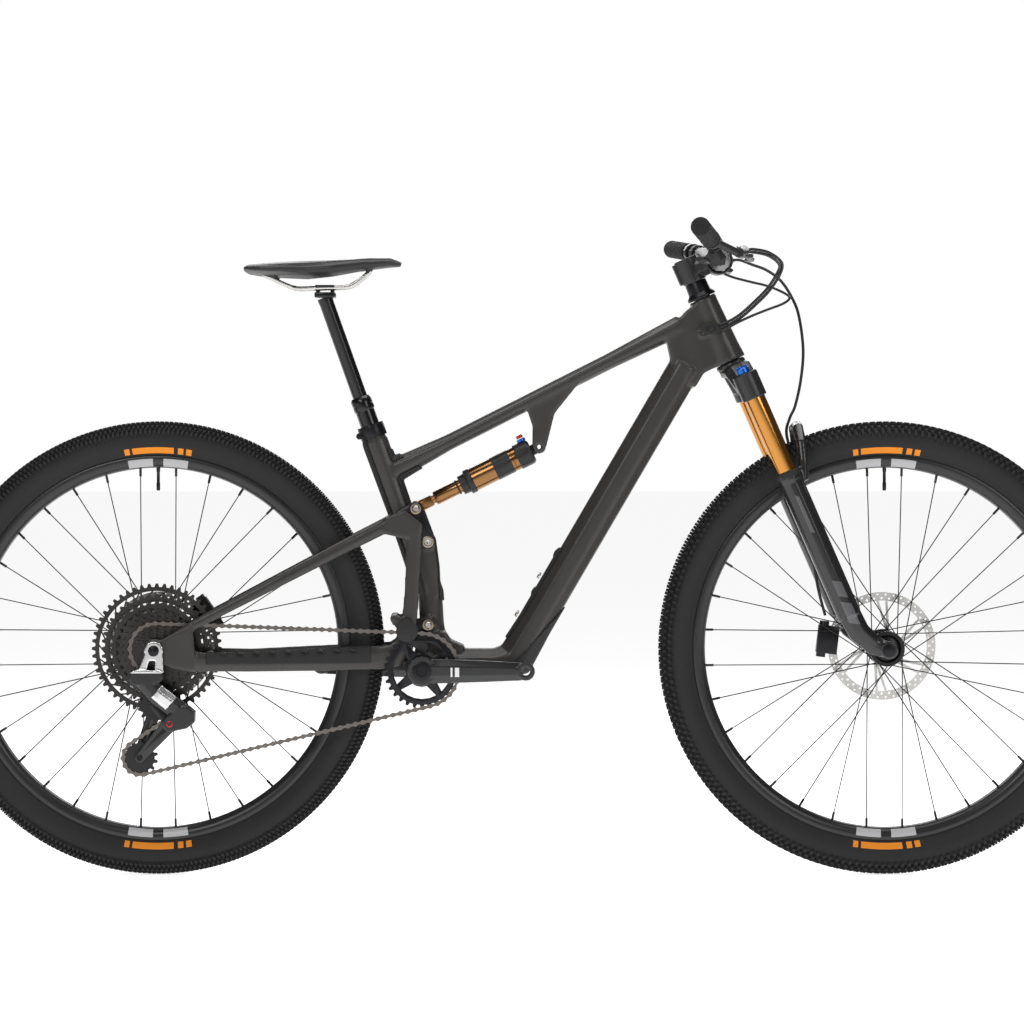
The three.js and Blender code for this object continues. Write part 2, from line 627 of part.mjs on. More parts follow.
function derailleurCage() {
  const outerY = -(CHAINLINE + CAGE_GAP + CAGE_THICK / 2);
  const innerY = -(CHAINLINE - CAGE_GAP - CAGE_THICK / 2);
  const arm = plate(roundedOutline([...cagePivot, 13], [...tensionPulley, 8]), outerY, CAGE_THICK);
  const guideLug = plate(roundedOutline([...cagePivot, 12], [...guidePulley, 8], 4), outerY, CAGE_THICK);
  const inner = plate(roundedOutline([...guidePulley, 10], [...tensionPulley, 12]), innerY, CAGE_THICK);
  const width = 2 * CAGE_GAP + 2 * CAGE_THICK;
  return join(arm, guideLug, inner, disc(guidePulley, PULLEY_BORE, -CHAINLINE, width, 12),
    disc(tensionPulley, PULLEY_BORE, -CHAINLINE, width, 12),
    disc(cagePivot, 11, outerY - CAGE_THICK / 2 - 2.2, 4.8, 14));
}
add('derailleur_cage', derailleurCage(), BLACK, 0.4, 0.5);

const dropoutInner = REAR_HUB_HALF + FIT;
const dropoutOuter = dropoutInner + DROPOUT_THICK;
const hangerInner = dropoutOuter + FIT;
const HANGER_THICK = 8;

function derailleurBody() {
  const ax = (dx, dz) => [rearAxle[0] + dx, rearAxle[1] + dz];
  const hangerY = -(hangerInner + HANGER_THICK / 2);
  const fork = cut(
    join(
      plate([
        ax(-11, 12), ax(-14, -4), ax(-26, -34), ax(-14, -40), ax(12, -40), ax(16, -34), ax(14, 0), ax(10, 12),
      ], hangerY, HANGER_THICK),
      disc(rearAxle, 15, hangerY, HANGER_THICK),
    ),
    disc(rearAxle, REAR_AXLE_RADIUS + FIT, hangerY, 3 * HANGER_THICK, 12),
    plate([ax(-8, -16), ax(-12, -33), ax(2, -33), ax(3, -16)], hangerY, 3 * HANGER_THICK),
  );
  const knuckleY = -(knuckleInner + 15);
  const mountingY = hangerInner + 0.4;
  const link = loft([
    [...at3(ax(-22, -42), -mountingY), 10, 14], [...at3(ax(8, -74), -mountingY + 1), 11, 16],
    [...at3(ax(46, -102), -mountingY + 6), 12, 17],
  ], ACROSS, 8);
  const knuckle = plate(roundedOutline([...ax(50, -108), 19], [...cagePivot, 13]), knuckleY, 30);
  const mounting = plate(roundedOutline([...ax(-28, -44), 13], [...ax(6, -42), 10]), -mountingY, 20);
  return join(fork, mounting, link, knuckle);
}
add('derailleur_body', derailleurBody(), BLACK, 0.45, 0.4);

add('rear_axle', join(
  disc(rearAxle, REAR_AXLE_RADIUS, -4, 2 * dropoutOuter + 26, 12),
  disc(rearAxle, 9, -(hangerInner + HANGER_THICK + FIT + 2), 4, 12),
  disc(rearAxle, 9, dropoutOuter + FIT + 2, 4, 12),
), ANODISED, 0.4, 0.8);

// ---------------------------------------------------------------- chain guide

const guideHead = fromBracket(-24.7, 64.4);
function chainGuide() {
  const plateHalf = CHAIN_HALF_WIDTH + 1.5;
  const armInner = uprightOuter + FIT;
  const armOuter = CHAINLINE - CHAIN_HALF_WIDTH - FIT;
  const arm = plate(roundedOutline([...guideHead, 18], [...guideTab, 8]), -(armInner + armOuter) / 2,
    armOuter - armInner);
  const footInner = BB_SHELL_HALF_WIDTH + FIT;
  const foot = disc(guideTab, 5, -(footInner + armOuter) / 2, armOuter - footInner, 12);
  const top = box([guideHead[0], -(armInner + CHAINLINE + plateHalf) / 2, guideHead[1] + 18],
    [12, CHAINLINE + plateHalf - armInner, 4.5]);
  const cheek = disc(guideHead, 18, -(CHAINLINE + plateHalf + 1.2), 2.5, 16);
  return join(cheek, top, arm, foot);
}
add('chain_guide', chainGuide(), BLACK, 0.5, 0.1);

// ---------------------------------------------------------------- rear triangle, links and shock

function stays(side) {
  const at = ([x, z], y, halfWide, halfDeep) => [x, side * y, z, halfWide, halfDeep];
  const ax = (dx, dz) => [rearAxle[0] + dx, rearAxle[1] + dz];
  const dropoutY = (dropoutInner + dropoutOuter) / 2;
  const uprightY = (uprightInner + uprightOuter) / 2;
  const uprightHalf = (uprightOuter - uprightInner) / 2;
  const blockY = (earInner + uprightOuter) / 2;
  const blockHalf = (uprightOuter - earInner) / 2;
  const seatstay = loft([
    at(ax(30, 19), dropoutY, 4.6, 8), at(ax(60, 39), dropoutY - 3, 5, 8),
    at(between(ax(60, 39), fromBracket(-56, 240), 0.45), dropoutY - 17.3, 6, 10),
    at(between(ax(60, 39), fromBracket(-56, 240), 0.8), 44, 6.5, 11.5),
    at(fromBracket(-66, 234), blockY + 2, blockHalf - 2, 12),
    at(fromBracket(-40, 249), blockY, blockHalf, 11.4),
  ], ACROSS, 8);
  const chainstay = loft([
    at(ax(28, -13), dropoutY, 4.6, 18), at(ax(62, -18), dropoutY - 2, 5, 17),
    at(ax(96, -20), dropoutY - 8.3, 6, 15), at(ax(150, -21), dropoutY - 15.3, 7, 15),
    at(between(ax(150, -21), fromBracket(-75, 20), 0.55), 51, 7, 18),
    at(fromBracket(-75, 20), uprightY - 1.5, uprightHalf, 20),
    at(fromBracket(-45, 24), uprightY, uprightHalf, 20),
    at(fromBracket(-30, 40), uprightY, uprightHalf, 17), at(fromBracket(-22, 68), uprightY, uprightHalf, 13),
    at(fromBracket(-17, 130), uprightY, uprightHalf, 12),
    at(fromBracket(-12, 238), uprightY, uprightHalf, 13),
  ], ACROSS, 8);
  const bridgePlate = plate([
    fromBracket(-66, 224), fromBracket(-30, 216), fromBracket(-5, 222), fromBracket(1, 240),
    fromBracket(-28, 262), fromBracket(-60, 250),
  ], side * uprightY, 2 * uprightHalf);
  const dropout = join(
    disc(rearAxle, 19, side * dropoutY, DROPOUT_THICK, 16),
    plate([
      ax(-12, 14), ax(-16, -8), ax(-4, -19), ax(34, -30), ax(66, -35), ax(66, -2), ax(62, 42), ax(30, 28),
      ax(10, 17),
    ], side * dropoutY, DROPOUT_THICK),
  );
  const ear = plate([
    [upperStayPivot[0] - 5, upperStayPivot[1] - 11.5], [upperStayPivot[0] + 5, upperStayPivot[1] - 10.5],
    [upperStayPivot[0] + 11, upperStayPivot[1] - 3], [upperStayPivot[0] + 11, upperStayPivot[1] + 4],
    [upperStayPivot[0] + 4, upperStayPivot[1] + 11], [upperStayPivot[0] - 6, upperStayPivot[1] + 10],
    fromBracket(-42, 260), fromBracket(-42, 238),
  ], side * (earInner + EAR_THICK / 2), EAR_THICK);
  const lowerEar = plate(roundedOutline([...lowerStayPivot, 9], [...fromBracket(-45, 84), 8], 5),
    side * (earInner + EAR_THICK / 2), EAR_THICK);
  return join(seatstay, chainstay, bridgePlate, dropout, ear, lowerEar);
}

function rearTriangle() {
  const [beamX, beamZ] = fromBracket(-46, 84);
  const beam = rod([beamX, -uprightOuter, beamZ], [beamX, uprightOuter, beamZ], 7, 8);
  const ties = SIDES.map(([, side]) => box([beamX + 12, side * (uprightInner + uprightOuter) / 2, beamZ - 4],
    [30, uprightOuter - uprightInner, 14]));
  const clearAxle = disc(rearAxle, REAR_AXLE_RADIUS + FIT, 0, 4 * REAR_HUB_HALF, 12);
  const clearPivot = disc(upperStayPivot, PIVOT_RADIUS + FIT, 0, 4 * uprightOuter, 12);
  const clearLower = disc(lowerStayPivot, 4, 0, 2 * earOuter, 8);
  return cut(join(stays(-1), stays(1), beam, ...ties), clearAxle, clearPivot, clearLower);
}
add('rear_triangle', rearTriangle(), CARBON, 0.45, 0.1);

/** A pair of link arms joined by their frame axle, with stub pins at the other end. */
function link(frameEnd, stayEnd, radius, pins) {
  const y = (linkInner + linkOuter) / 2;
  const arms = SIDES.map(([, side]) => plate(roundedOutline([...frameEnd, radius], [...stayEnd, radius], 4),
    side * y, LINK_THICK));
  const axle = disc(frameEnd, PIVOT_RADIUS, 0, 2 * linkOuter, 12);
  const stubInner = earInner + 0.2;
  const stubs = pins ? SIDES.map(([, side]) => disc(stayEnd, PIVOT_RADIUS, side * (stubInner + linkOuter) / 2,
    linkOuter - stubInner, 12)) : [];
  return join(...arms, axle, ...stubs);
}
add('upper_link', link(upperFramePivot, upperStayPivot, LINK_EYE, true), BLACK, 0.4, 0.8);
add('lower_link', link(lowerFramePivot, lowerStayPivot, LINK_EYE - 1, false), BLACK, 0.4, 0.8);

const shockReach = Math.hypot(shockPivot[0] - upperStayPivot[0], shockPivot[1] - upperStayPivot[1]);
const shockGroup = new THREE.Group();
shockGroup.position.set(shockPivot[0], 0, shockPivot[1]);
shockGroup.rotation.y = -Math.atan2(upperStayPivot[1] - shockPivot[1], upperStayPivot[0] - shockPivot[0]);
bike.add(shockGroup);

const SHOCK_EYE_HALF = 12;
const SHOCK_HEAD_START = 14;
const SHOCK_HEAD_END = 40;
const SHOCK_CAN_END = 122;
const SHAFT_OVERLAP = 45;
const SHOCK_STROKE_ROOM = 47;
const YOKE_START = shockReach - 30;

/** A body turned about the shock's own length, from a closed profile of [radius, distance] points. */
const turnedAlong = (profile, segments = 14) => turned(profile, segments).rotateZ(-Math.PI / 2);

function shockBody() {
  const open = SHOCK_LENGTH_SHAFT_START;
  const barrel = turnedAlong([
    [0, SHOCK_HEAD_START], [19, SHOCK_HEAD_START], [21.5, SHOCK_HEAD_START + 4], [21.5, SHOCK_HEAD_END],
    [SHOCK_CAN_RADIUS, SHOCK_HEAD_END + 1], [SHOCK_CAN_RADIUS, SHOCK_CAN_END], [20.8, SHOCK_CAN_END + 1],
    [20.8, SHOCK_CAN_END + 9], [17, SHOCK_CAN_END + 11], [16, open], [0, open],
  ]);
  const eye = disc([0, 0], 11, 0, 2 * SHOCK_EYE_HALF, 14);
  const neck = box([SHOCK_HEAD_START / 2 + 3, 0, 0], [SHOCK_HEAD_START, 20, 19]);
  const knobs = rod([22, 0, -14], [22, 0, -32], 8, 12);
  const boreEnd = open - SHAFT_OVERLAP - SHOCK_STROKE_ROOM;
  const bore = rod([open + 5, 0, 0], [boreEnd, 0, 0], SHOCK_SHAFT_RADIUS + 0.5, 14);
  return cut(join(barrel, eye, neck, knobs), bore, disc([0, 0], 4, 0, 60, 8));
}
add('shock_body', shockBody(), GOLD, 0.25, 0.8, shockGroup);

function shockShaft() {
  const shaftTop = SHOCK_LENGTH_SHAFT_START - SHAFT_OVERLAP;
  const shaft = turnedAlong([
    [0, shaftTop], [SHOCK_SHAFT_RADIUS, shaftTop], [SHOCK_SHAFT_RADIUS, YOKE_START - 6], [7, YOKE_START - 5],
    [7, YOKE_START + 2], [0, YOKE_START + 2],
  ]);
  const crossbar = box([YOKE_START + 4, 0, 0], [8, 2 * clevisOuter, 17]);
  const arms = SIDES.map(([, side]) => plate([
    [YOKE_START, -8.5], [shockReach, -9], [shockReach + 7, -6], [shockReach + 9, 0], [shockReach + 7, 6],
    [shockReach, 9], [YOKE_START, 8.5],
  ], side * (CLEVIS_INNER + clevisOuter) / 2, CLEVIS_THICK));
  return cut(join(shaft, crossbar, ...arms), disc([shockReach, 0], 4, 0, 60, 8));
}
add('shock_shaft', shockShaft(), GOLD, 0.25, 0.8, shockGroup);

// ---------------------------------------------------------------- fork

const steering = new THREE.Group();
steering.position.set(crownRace[0], 0, crownRace[1]);
steering.rotation.y = -steeringTilt;
bike.add(steering);

const CROWN_FOOT = -66;
const CROWN_CAP = -22;
const LEG_TOP = CROWN_FOOT - FORK_TRAVEL - 1.5;
const STANCHION_OVERLAP = 120;
const legBore = STANCHION_RADIUS + 0.4;
const legRadius = legBore + LEG_WALL;
const axleAlong = -axleToCrown;
const headsetTop = HEADSET_STACK + HEAD_TUBE_LENGTH;
const STEM_FOOT = headsetTop + 29;
const STEM_TOP = STEM_FOOT + 42;

function crownAndSteerer() {
  const bridge = loft([
    [8, -STANCHION_SPREAD - 4, -44, 20, 15], [8, -STANCHION_SPREAD + 14, -42, 21, 15], [5, -28, -12, 23, 11],
    [2, 0, -11, 25, 11], [5, 28, -12, 23, 11], [8, STANCHION_SPREAD - 14, -42, 21, 15],
    [8, STANCHION_SPREAD + 4, -44, 20, 15],
  ], FORWARD, 8);
  const sockets = SIDES.map(([, side]) => rod([STANCHION_LEAD, side * STANCHION_SPREAD, CROWN_FOOT],
    [STANCHION_LEAD, side * STANCHION_SPREAD, CROWN_CAP], STANCHION_RADIUS + 4.5, 16));
  const steerer = rod([0, 0, -12], [0, 0, STEM_TOP - 4], STEERER_RADIUS, 14);
  const raceTop = HEADSET_STACK - FIT;
  const race = turnedUpright([[0, -4], [25, -4], [25, 3], [20, raceTop], [0, raceTop]], 16);
  const bores = SIDES.map(([, side]) => rod([STANCHION_LEAD, side * STANCHION_SPREAD, CROWN_FOOT - 30],
    [STANCHION_LEAD, side * STANCHION_SPREAD, CROWN_CAP - 4], STANCHION_RADIUS + 2 * FIT, 14));
  return cut(join(bridge, ...sockets, steerer, race), ...bores);
}
add('fork_crown_steerer', crownAndSteerer(), BLACK, 0.4, 0.6, steering);

for (const [name, side] of SIDES) {
  const tube = rod([STANCHION_LEAD, side * STANCHION_SPREAD, LEG_TOP - STANCHION_OVERLAP],
    [STANCHION_LEAD, side * STANCHION_SPREAD, CROWN_CAP - 5], STANCHION_RADIUS, 14);
  add(`stanchion_${name}`, tube, GOLD, 0.2, 0.8, steering);
}
add('damper_knob', join(
  rod([STANCHION_LEAD, -STANCHION_SPREAD, CROWN_CAP + FIT], [STANCHION_LEAD, -STANCHION_SPREAD, -13], 11, 16),
  box([STANCHION_LEAD, -STANCHION_SPREAD, -11.5], [19, 5, 5]),
), 0x1f5fae, 0.35, 0.6, steering);

const FORK_LEG_SEGMENTS = 12;
function forkLowers() {
  const legs = SIDES.map(([, side]) => {
    const at = (ahead, along, ...halves) => [ahead, side * STANCHION_SPREAD, along, ...halves];
    return join(
      loft([
        at(STANCHION_LEAD, LEG_TOP, legRadius + 1.5, legRadius + 1.5),
        at(STANCHION_LEAD, LEG_TOP - 14, legRadius + 1.5, legRadius + 1.5),
        at(STANCHION_LEAD, LEG_TOP - 18, legRadius, legRadius),
        at(STANCHION_LEAD, LEG_TOP - STANCHION_OVERLAP - FORK_TRAVEL - 8, legRadius, legRadius),
      ], ACROSS, FORK_LEG_SEGMENTS),
      loft([
        at(STANCHION_LEAD, LEG_TOP - STANCHION_OVERLAP - FORK_TRAVEL + 6, 17, 19),
        at(STANCHION_LEAD + 4, axleAlong + 46, 14, 18), at(FORK_OFFSET - 18, axleAlong + 15, 8.6, 16),
        at(FORK_OFFSET, axleAlong, 8.6, 14),
      ], ACROSS, 8),
      disc([FORK_OFFSET, axleAlong], 15, side * STANCHION_SPREAD, 18, 16),
    );
  });
  const archPath = [
    [29, STANCHION_SPREAD, LEG_TOP - 24, 8, 7], [41, STANCHION_SPREAD - 2, LEG_TOP + 6, 8, 7],
    [51, STANCHION_SPREAD - 9, LEG_TOP + 36, 8, 6], [57, 34, axleAlong + WHEEL_RADIUS + 18, 9, 6],
  ];
  const mirrored = archPath.map(([x, y, z, wide, deep]) => [x, -y, z, wide, deep]).reverse();
  const arch = loft([...archPath, [59, 0, axleAlong + WHEEL_RADIUS + 21, 9, 6], ...mirrored], FORWARD, 8);
  const bores = SIDES.map(([, side]) => rod([STANCHION_LEAD, side * STANCHION_SPREAD, LEG_TOP + 40],
    [STANCHION_LEAD, side * STANCHION_SPREAD, LEG_TOP - STANCHION_OVERLAP - FORK_TRAVEL - 2], legBore, 14));
  const axleHole = disc([FORK_OFFSET, axleAlong], FRONT_AXLE_RADIUS + FIT, 0, 300, 14);
  const hubRoom = box([FORK_OFFSET, 0, axleAlong], [60, 2 * (FRONT_HUB_HALF + FIT), 60]);
  return cut(join(...legs, arch), ...bores, axleHole, hubRoom);
}
add('fork_lowers', forkLowers(), BLACK, 0.4, 0.2, steering);

const legOuter = STANCHION_SPREAD + 9 + FIT;
add('front_axle', join(
  disc([FORK_OFFSET, axleAlong], FRONT_AXLE_RADIUS, 0, 2 * legOuter + 2, 14),
  disc([FORK_OFFSET, axleAlong], 10, legOuter + 1.5, 3, 14),
  disc([FORK_OFFSET, axleAlong], 10, -legOuter - 1.5, 3, 14),
), ANODISED, 0.4, 0.8, steering);

/** A brake caliper straddling a rotor, at an angle round it, with the rotor's plane at y. */
function caliper([x, z], angle, y) {
  const reach = ROTOR_RADIUS - 2;
  const place = (away, turn = angle) => [x + away * Math.cos(turn), z + away * Math.sin(turn)];
  const blockAt = place(reach + 3);
  const body = join(
    box([0, -2.5, 0], [34, 22, 46]),
    rod([8, 0, -30], [8, 0, 30], 8, 12),
  ).rotateY(-angle).translate(blockAt[0], y, blockAt[1]);
  const slot = turned([
    [ROTOR_RADIUS - 40, -ROTOR_THICK], [ROTOR_RADIUS + 2, -ROTOR_THICK], [ROTOR_RADIUS + 2, ROTOR_THICK],
    [ROTOR_RADIUS - 40, ROTOR_THICK],
  ], 24).translate(x, y, z);
  return cut(body, slot);
}

const frontRotorY = FRONT_HUB_HALF - ROTOR_INSET;
const rearRotorY = REAR_HUB_HALF - ROTOR_INSET;

// ---------------------------------------------------------------- wheels

const rimFlange = WHEEL_RADIUS - TYRE_HEIGHT;
const rimInner = rimFlange - RIM_HEIGHT;
const rimBed = rimFlange - 8;

function tyre() {
  const bead = RIM_HALF_WIDTH - 2 - FIT;
  const carcass = WHEEL_RADIUS - TYRE_HALF_WIDTH;
  const outer = [
    [rimBed + FIT, bead], [rimFlange + 2, bead], [carcass - 4, TYRE_HALF_WIDTH],
    [WHEEL_RADIUS - 9, TYRE_HALF_WIDTH - 8], [WHEEL_RADIUS, 7],
  ];
  const inner = [[WHEEL_RADIUS - 7, 0], [carcass, TYRE_HALF_WIDTH - 4], [rimBed + FIT, bead - 3.5]];
  const mirrored = (points) => points.map(([r, y]) => [r, -y]);
  return turned([
    ...mirrored(outer), ...[...outer].reverse(), ...[...inner].reverse(), ...mirrored(inner.slice(1)),
  ], WHEEL_SEGMENTS);
}

function rim() {
  const side = [
    [rimInner, RIM_HALF_WIDTH - 9], [rimInner + 9, RIM_HALF_WIDTH], [rimFlange, RIM_HALF_WIDTH],
    [rimFlange, RIM_HALF_WIDTH - 2], [rimBed, RIM_HALF_WIDTH - 2],
  ];
  return turned([...side.map(([r, y]) => [r, -y]), ...[...side].reverse()], WHEEL_SEGMENTS);
}

const FLANGE_RADIUS = 29;
const SPOKE_CIRCLE = 26;
const CROSS_ANGLE = THREE.MathUtils.degToRad(67.5);
const RIM_STAGGER = 2.5;
const SPOKE_LAYER = 1.3;          // leading and trailing spokes lie this far either side of their cone

/** The spokes of one flange, crossing in pairs, with the ring of heads that holds them. */
function spokes(flangeY, outward, firstHole) {
  const headY = flangeY + outward * 6;
  const heads = SPOKE_LAYER + 0.7;
  const nippleRadius = rimInner * Math.cos(Math.PI / WHEEL_SEGMENTS) - 2 * FIT;
  const bundle = [turned([[23, headY - heads], [FLANGE_RADIUS, headY - heads], [FLANGE_RADIUS, headY + heads],
    [23, headY + heads]], 16)];
  for (let i = 0; i < SPOKES_PER_FLANGE; i += 1) {
    const hole = firstHole + 2 * i;
    const rimAngle = (hole + 0.5) * Math.PI / SPOKES_PER_FLANGE;
    const lead = hole % 4 < 2 ? 1 : -1;
    const hubAngle = rimAngle + lead * CROSS_ANGLE;
    const at = (radius, angle, y) => [radius * Math.sin(angle), y, radius * Math.cos(angle)];
    const head = at(SPOKE_CIRCLE, hubAngle, headY + lead * SPOKE_LAYER);
    const nipple = at(nippleRadius, rimAngle, outward * RIM_STAGGER + lead * (SPOKE_RADIUS + 0.1));
    bundle.push(rod(head, nipple, SPOKE_RADIUS, 3));
  }
  return join(...bundle);
}

function rotor(y, hubRadius) {
  const half = ROTOR_THICK / 2;
  const hoop = (inner, outer) => turned([[inner, -half], [outer, -half], [outer, half], [inner, half]], 20);
  const arms = Array.from({ length: 5 }, (_, i) => {
    const [from, to] = [i * Math.PI / 2.5, i * Math.PI / 2.5 + 0.5];
    return plate(roundedOutline([(hubRadius + 9) * Math.cos(from), (hubRadius + 9) * Math.sin(from), 4],
      [(ROTOR_RADIUS - 12) * Math.cos(to), (ROTOR_RADIUS - 12) * Math.sin(to), 3], 1), 0, ROTOR_THICK);
  });
  return join(hoop(ROTOR_RADIUS - 15, ROTOR_RADIUS), hoop(hubRadius + 0.5, hubRadius + 12), ...arms)
    .translate(0, y, 0);
}

function hub(half, bore, rightFlange, leftFlange, rightEnd) {
  return turned([
    [bore, -half], [rightEnd, -half], [rightEnd, rightFlange - 4], [FLANGE_RADIUS, rightFlange - 1.5],
    [FLANGE_RADIUS, rightFlange + 1.5], [14, rightFlange + 7], [14, leftFlange - 7],
    [FLANGE_RADIUS, leftFlange - 1.5], [FLANGE_RADIUS, leftFlange + 1.5], [16, leftFlange + 4], [16, half],
    [bore, half],
  ], HUB_SEGMENTS);
}

function wheel(prefix, axle, hubHalf, bore, [rightFlange, leftFlange], rightEnd, rotorY, parent) {
  const group = new THREE.Group();
  group.position.set(axle[0], 0, axle[1]);
  parent.add(group);
  add(`${prefix}_tyre`, tyre(), RUBBER, 0.9, 0, group);
  add(`${prefix}_rim`, rim(), BLACK, 0.4, 0.3, group);
  add(`${prefix}_spokes_right`, spokes(rightFlange, -1, 1), BLACK, 0.35, 0.9, group);
  add(`${prefix}_spokes_left`, spokes(leftFlange, 1, 0), BLACK, 0.35, 0.9, group);
  add(`${prefix}_hub`, hub(hubHalf, bore, rightFlange, leftFlange, rightEnd), ANODISED, 0.35, 0.8, group);
  add(`${prefix}_rotor`, rotor(rotorY, 16), STEEL, 0.35, 1, group);
}
wheel('front', frontAxle, FRONT_HUB_HALF, FRONT_AXLE_RADIUS + FIT, [-35, 22], 14, frontRotorY, bike);
wheel('rear', rearAxle, REAR_HUB_HALF, REAR_AXLE_RADIUS + FIT, [-18.5, 36], FREEHUB_RADIUS, rearRotorY, bike);

add('front_caliper', caliper(frontAxle, Math.PI - 0.12, frontRotorY), BLACK, 0.45, 0.6);
add('rear_caliper', caliper(rearAxle, 0.62, rearRotorY), BLACK, 0.45, 0.6);

// ---------------------------------------------------------------- stem, bar and grips

const BAR_CLAMP_RISE = 16.4;
const barClamp = fromCrown(STEM_LENGTH, STEM_FOOT + BAR_CLAMP_RISE);
const clampBore = BAR_CLAMP_RADIUS / Math.cos(Math.PI / 10) + 2 * FIT;

add('headset_upper', turnedUpright([
  [STEERER_RADIUS + FIT, headsetTop + FIT], [24, headsetTop + FIT], [24, headsetTop + 4],
  [19, headsetTop + 10], [18, STEM_FOOT - FIT], [STEERER_RADIUS + FIT, STEM_FOOT - FIT],
]), ANODISED, 0.4, 0.8, steering);

add('stem', cut(
  join(
    rod([0, 0, STEM_FOOT], [0, 0, STEM_TOP], 20, 16),
    loft([[0, 0, STEM_FOOT + 20, 18, 17], [STEM_LENGTH, 0, STEM_FOOT + BAR_CLAMP_RISE, 22, 15]], ACROSS, 8),
    disc([STEM_LENGTH, STEM_FOOT + BAR_CLAMP_RISE], clampBore + 4.5, 0, 52, 16),
    box([-20, 0, STEM_FOOT + 21], [10, 18, 36]),
  ),
  rod([0, 0, STEM_FOOT - 5], [0, 0, STEM_TOP - 4 + FIT], STEERER_RADIUS + 2 * FIT, 14),
  disc([STEM_LENGTH, STEM_FOOT + BAR_CLAMP_RISE], clampBore, 0, 60, 14),
), BLACK, 0.35, 0.5, steering);

const BAR_BEND = 138;
const BAR_RISE = 16.5;
const BAR_SWEEP = 0.174;         // back, for each millimetre out past the bend
const BAR_UPSWEEP = 0.084;

/** A point on the straight end of the bar, with shifts forward and up. */
function barPoint(side, out, forward = 0, up = 0) {
  const past = out - BAR_BEND;
  return [
    barClamp[0] - 11 - past * BAR_SWEEP + forward, side * out,
    barClamp[1] + BAR_RISE + past * BAR_UPSWEEP + up,
  ];
}

const barHalf = (side) => [
  [barClamp[0], side * 44, barClamp[1], BAR_CLAMP_RADIUS],
  [barClamp[0] - 3.5, side * 92, barClamp[1] + 6, 14],
  [...barPoint(side, BAR_BEND), BAR_END_RADIUS], [...barPoint(side, BAR_BEND + 12), BAR_END_RADIUS],
  [...barPoint(side, BAR_HALF_LENGTH), BAR_END_RADIUS],
];
add('handlebar', loft([...barHalf(-1).reverse(), ...barHalf(1)], FORWARD), BLACK, 0.4, 0.2);

/** A sleeve round the bar between two distances out, with room for the bar. */
function barSleeve(side, from, to, radius, sides = 16) {
  return loft([[...barPoint(side, from), radius], [...barPoint(side, to), radius]], FORWARD, sides);
}

const barRoom = (side, from, to) => barSleeve(side, from, to, BAR_END_RADIUS + 2 * FIT, 10);

for (const [name, side] of SIDES) {
  const end = BAR_HALF_LENGTH + 3;
  add(`grip_${name}`, cut(barSleeve(side, end - GRIP_LENGTH, end, GRIP_RADIUS),
    barRoom(side, end - GRIP_LENGTH - 5, BAR_HALF_LENGTH + FIT)), RUBBER, 0.9, 0);
}

// ---------------------------------------------------------------- brake levers and remotes

const LEVER_PIVOT_OUT = 206;

for (const [name, side] of SIDES) {
  const place = (out, forward, up) => barPoint(side, out, forward, up);
  const body = join(
    barSleeve(side, 224, 238, 15.5, 12),
    loft([[...place(231, 8, -4), 6, 8], [...place(LEVER_PIVOT_OUT + 6, 40, -18), 6, 7]], UP, 8),
    loft([[...place(LEVER_PIVOT_OUT + 8, 42, -18), 8], [...place(LEVER_PIVOT_OUT - 20, 45, -15), 9.5],
      [...place(168, 46, -10), 9.5], [...place(160, 46, -9.5), 6]], UP, 10),
  );
  add(`brake_body_${name}`, cut(body, barRoom(side, 215, 245)), BLACK, 0.35, 0.6);
  const blade = loft([
    [...place(LEVER_PIVOT_OUT - 6, 56, -28.5), 3.5, 6], [...place(LEVER_PIVOT_OUT + 14, 59, -30), 4, 6.5],
    [...place(250, 66, -34), 4, 5], [...place(300, 66, -36), 4, 5], [...place(330, 71, -38), 4, 6],
    [...place(338, 74, -39), 3, 4],
  ], UP, 8);
  add(`brake_blade_${name}`, blade, BLACK, 0.35, 0.6);
}

const REMOTE_OUT = 192;
function barControl(side, block) {
  return cut(join(barSleeve(side, REMOTE_OUT - 8, REMOTE_OUT + 8, 14.5, 12), block),
    barRoom(side, REMOTE_OUT - 35, REMOTE_OUT + 35));
}
add('dropper_remote', barControl(1, loft([
  [...barPoint(1, REMOTE_OUT, 0, -11), 8, 8], [...barPoint(1, REMOTE_OUT - 10, -2, -25), 8, 8],
], FORWARD, 8)), BLACK, 0.4, 0.6);
add('dropper_paddle', loft([
  [...barPoint(1, REMOTE_OUT - 8, -2, -38), 6, 3], [...barPoint(1, REMOTE_OUT + 22, -14, -38), 9, 3],
  [...barPoint(1, REMOTE_OUT + 36, -20, -35), 8, 3],
], FORWARD, 8), BLACK, 0.5, 0.2);
add('shift_pod', barControl(-1, loft([
  [...barPoint(-1, REMOTE_OUT, 0, -10), 9, 9], [...barPoint(-1, REMOTE_OUT - 12, 4, -22), 15, 13],
  [...barPoint(-1, REMOTE_OUT - 14, 5, -34), 12, 10],
], FORWARD, 8)), BLACK, 0.45, 0.2);
add('shift_paddle', loft([
  [...barPoint(-1, REMOTE_OUT + 5, -10, -30), 6, 5], [...barPoint(-1, REMOTE_OUT + 28, -16, -31), 9, 5],
  [...barPoint(-1, REMOTE_OUT + 38, -19, -30), 7, 4],
], FORWARD, 8), BLACK, 0.5, 0.1);

// ---------------------------------------------------------------- hoses and housing

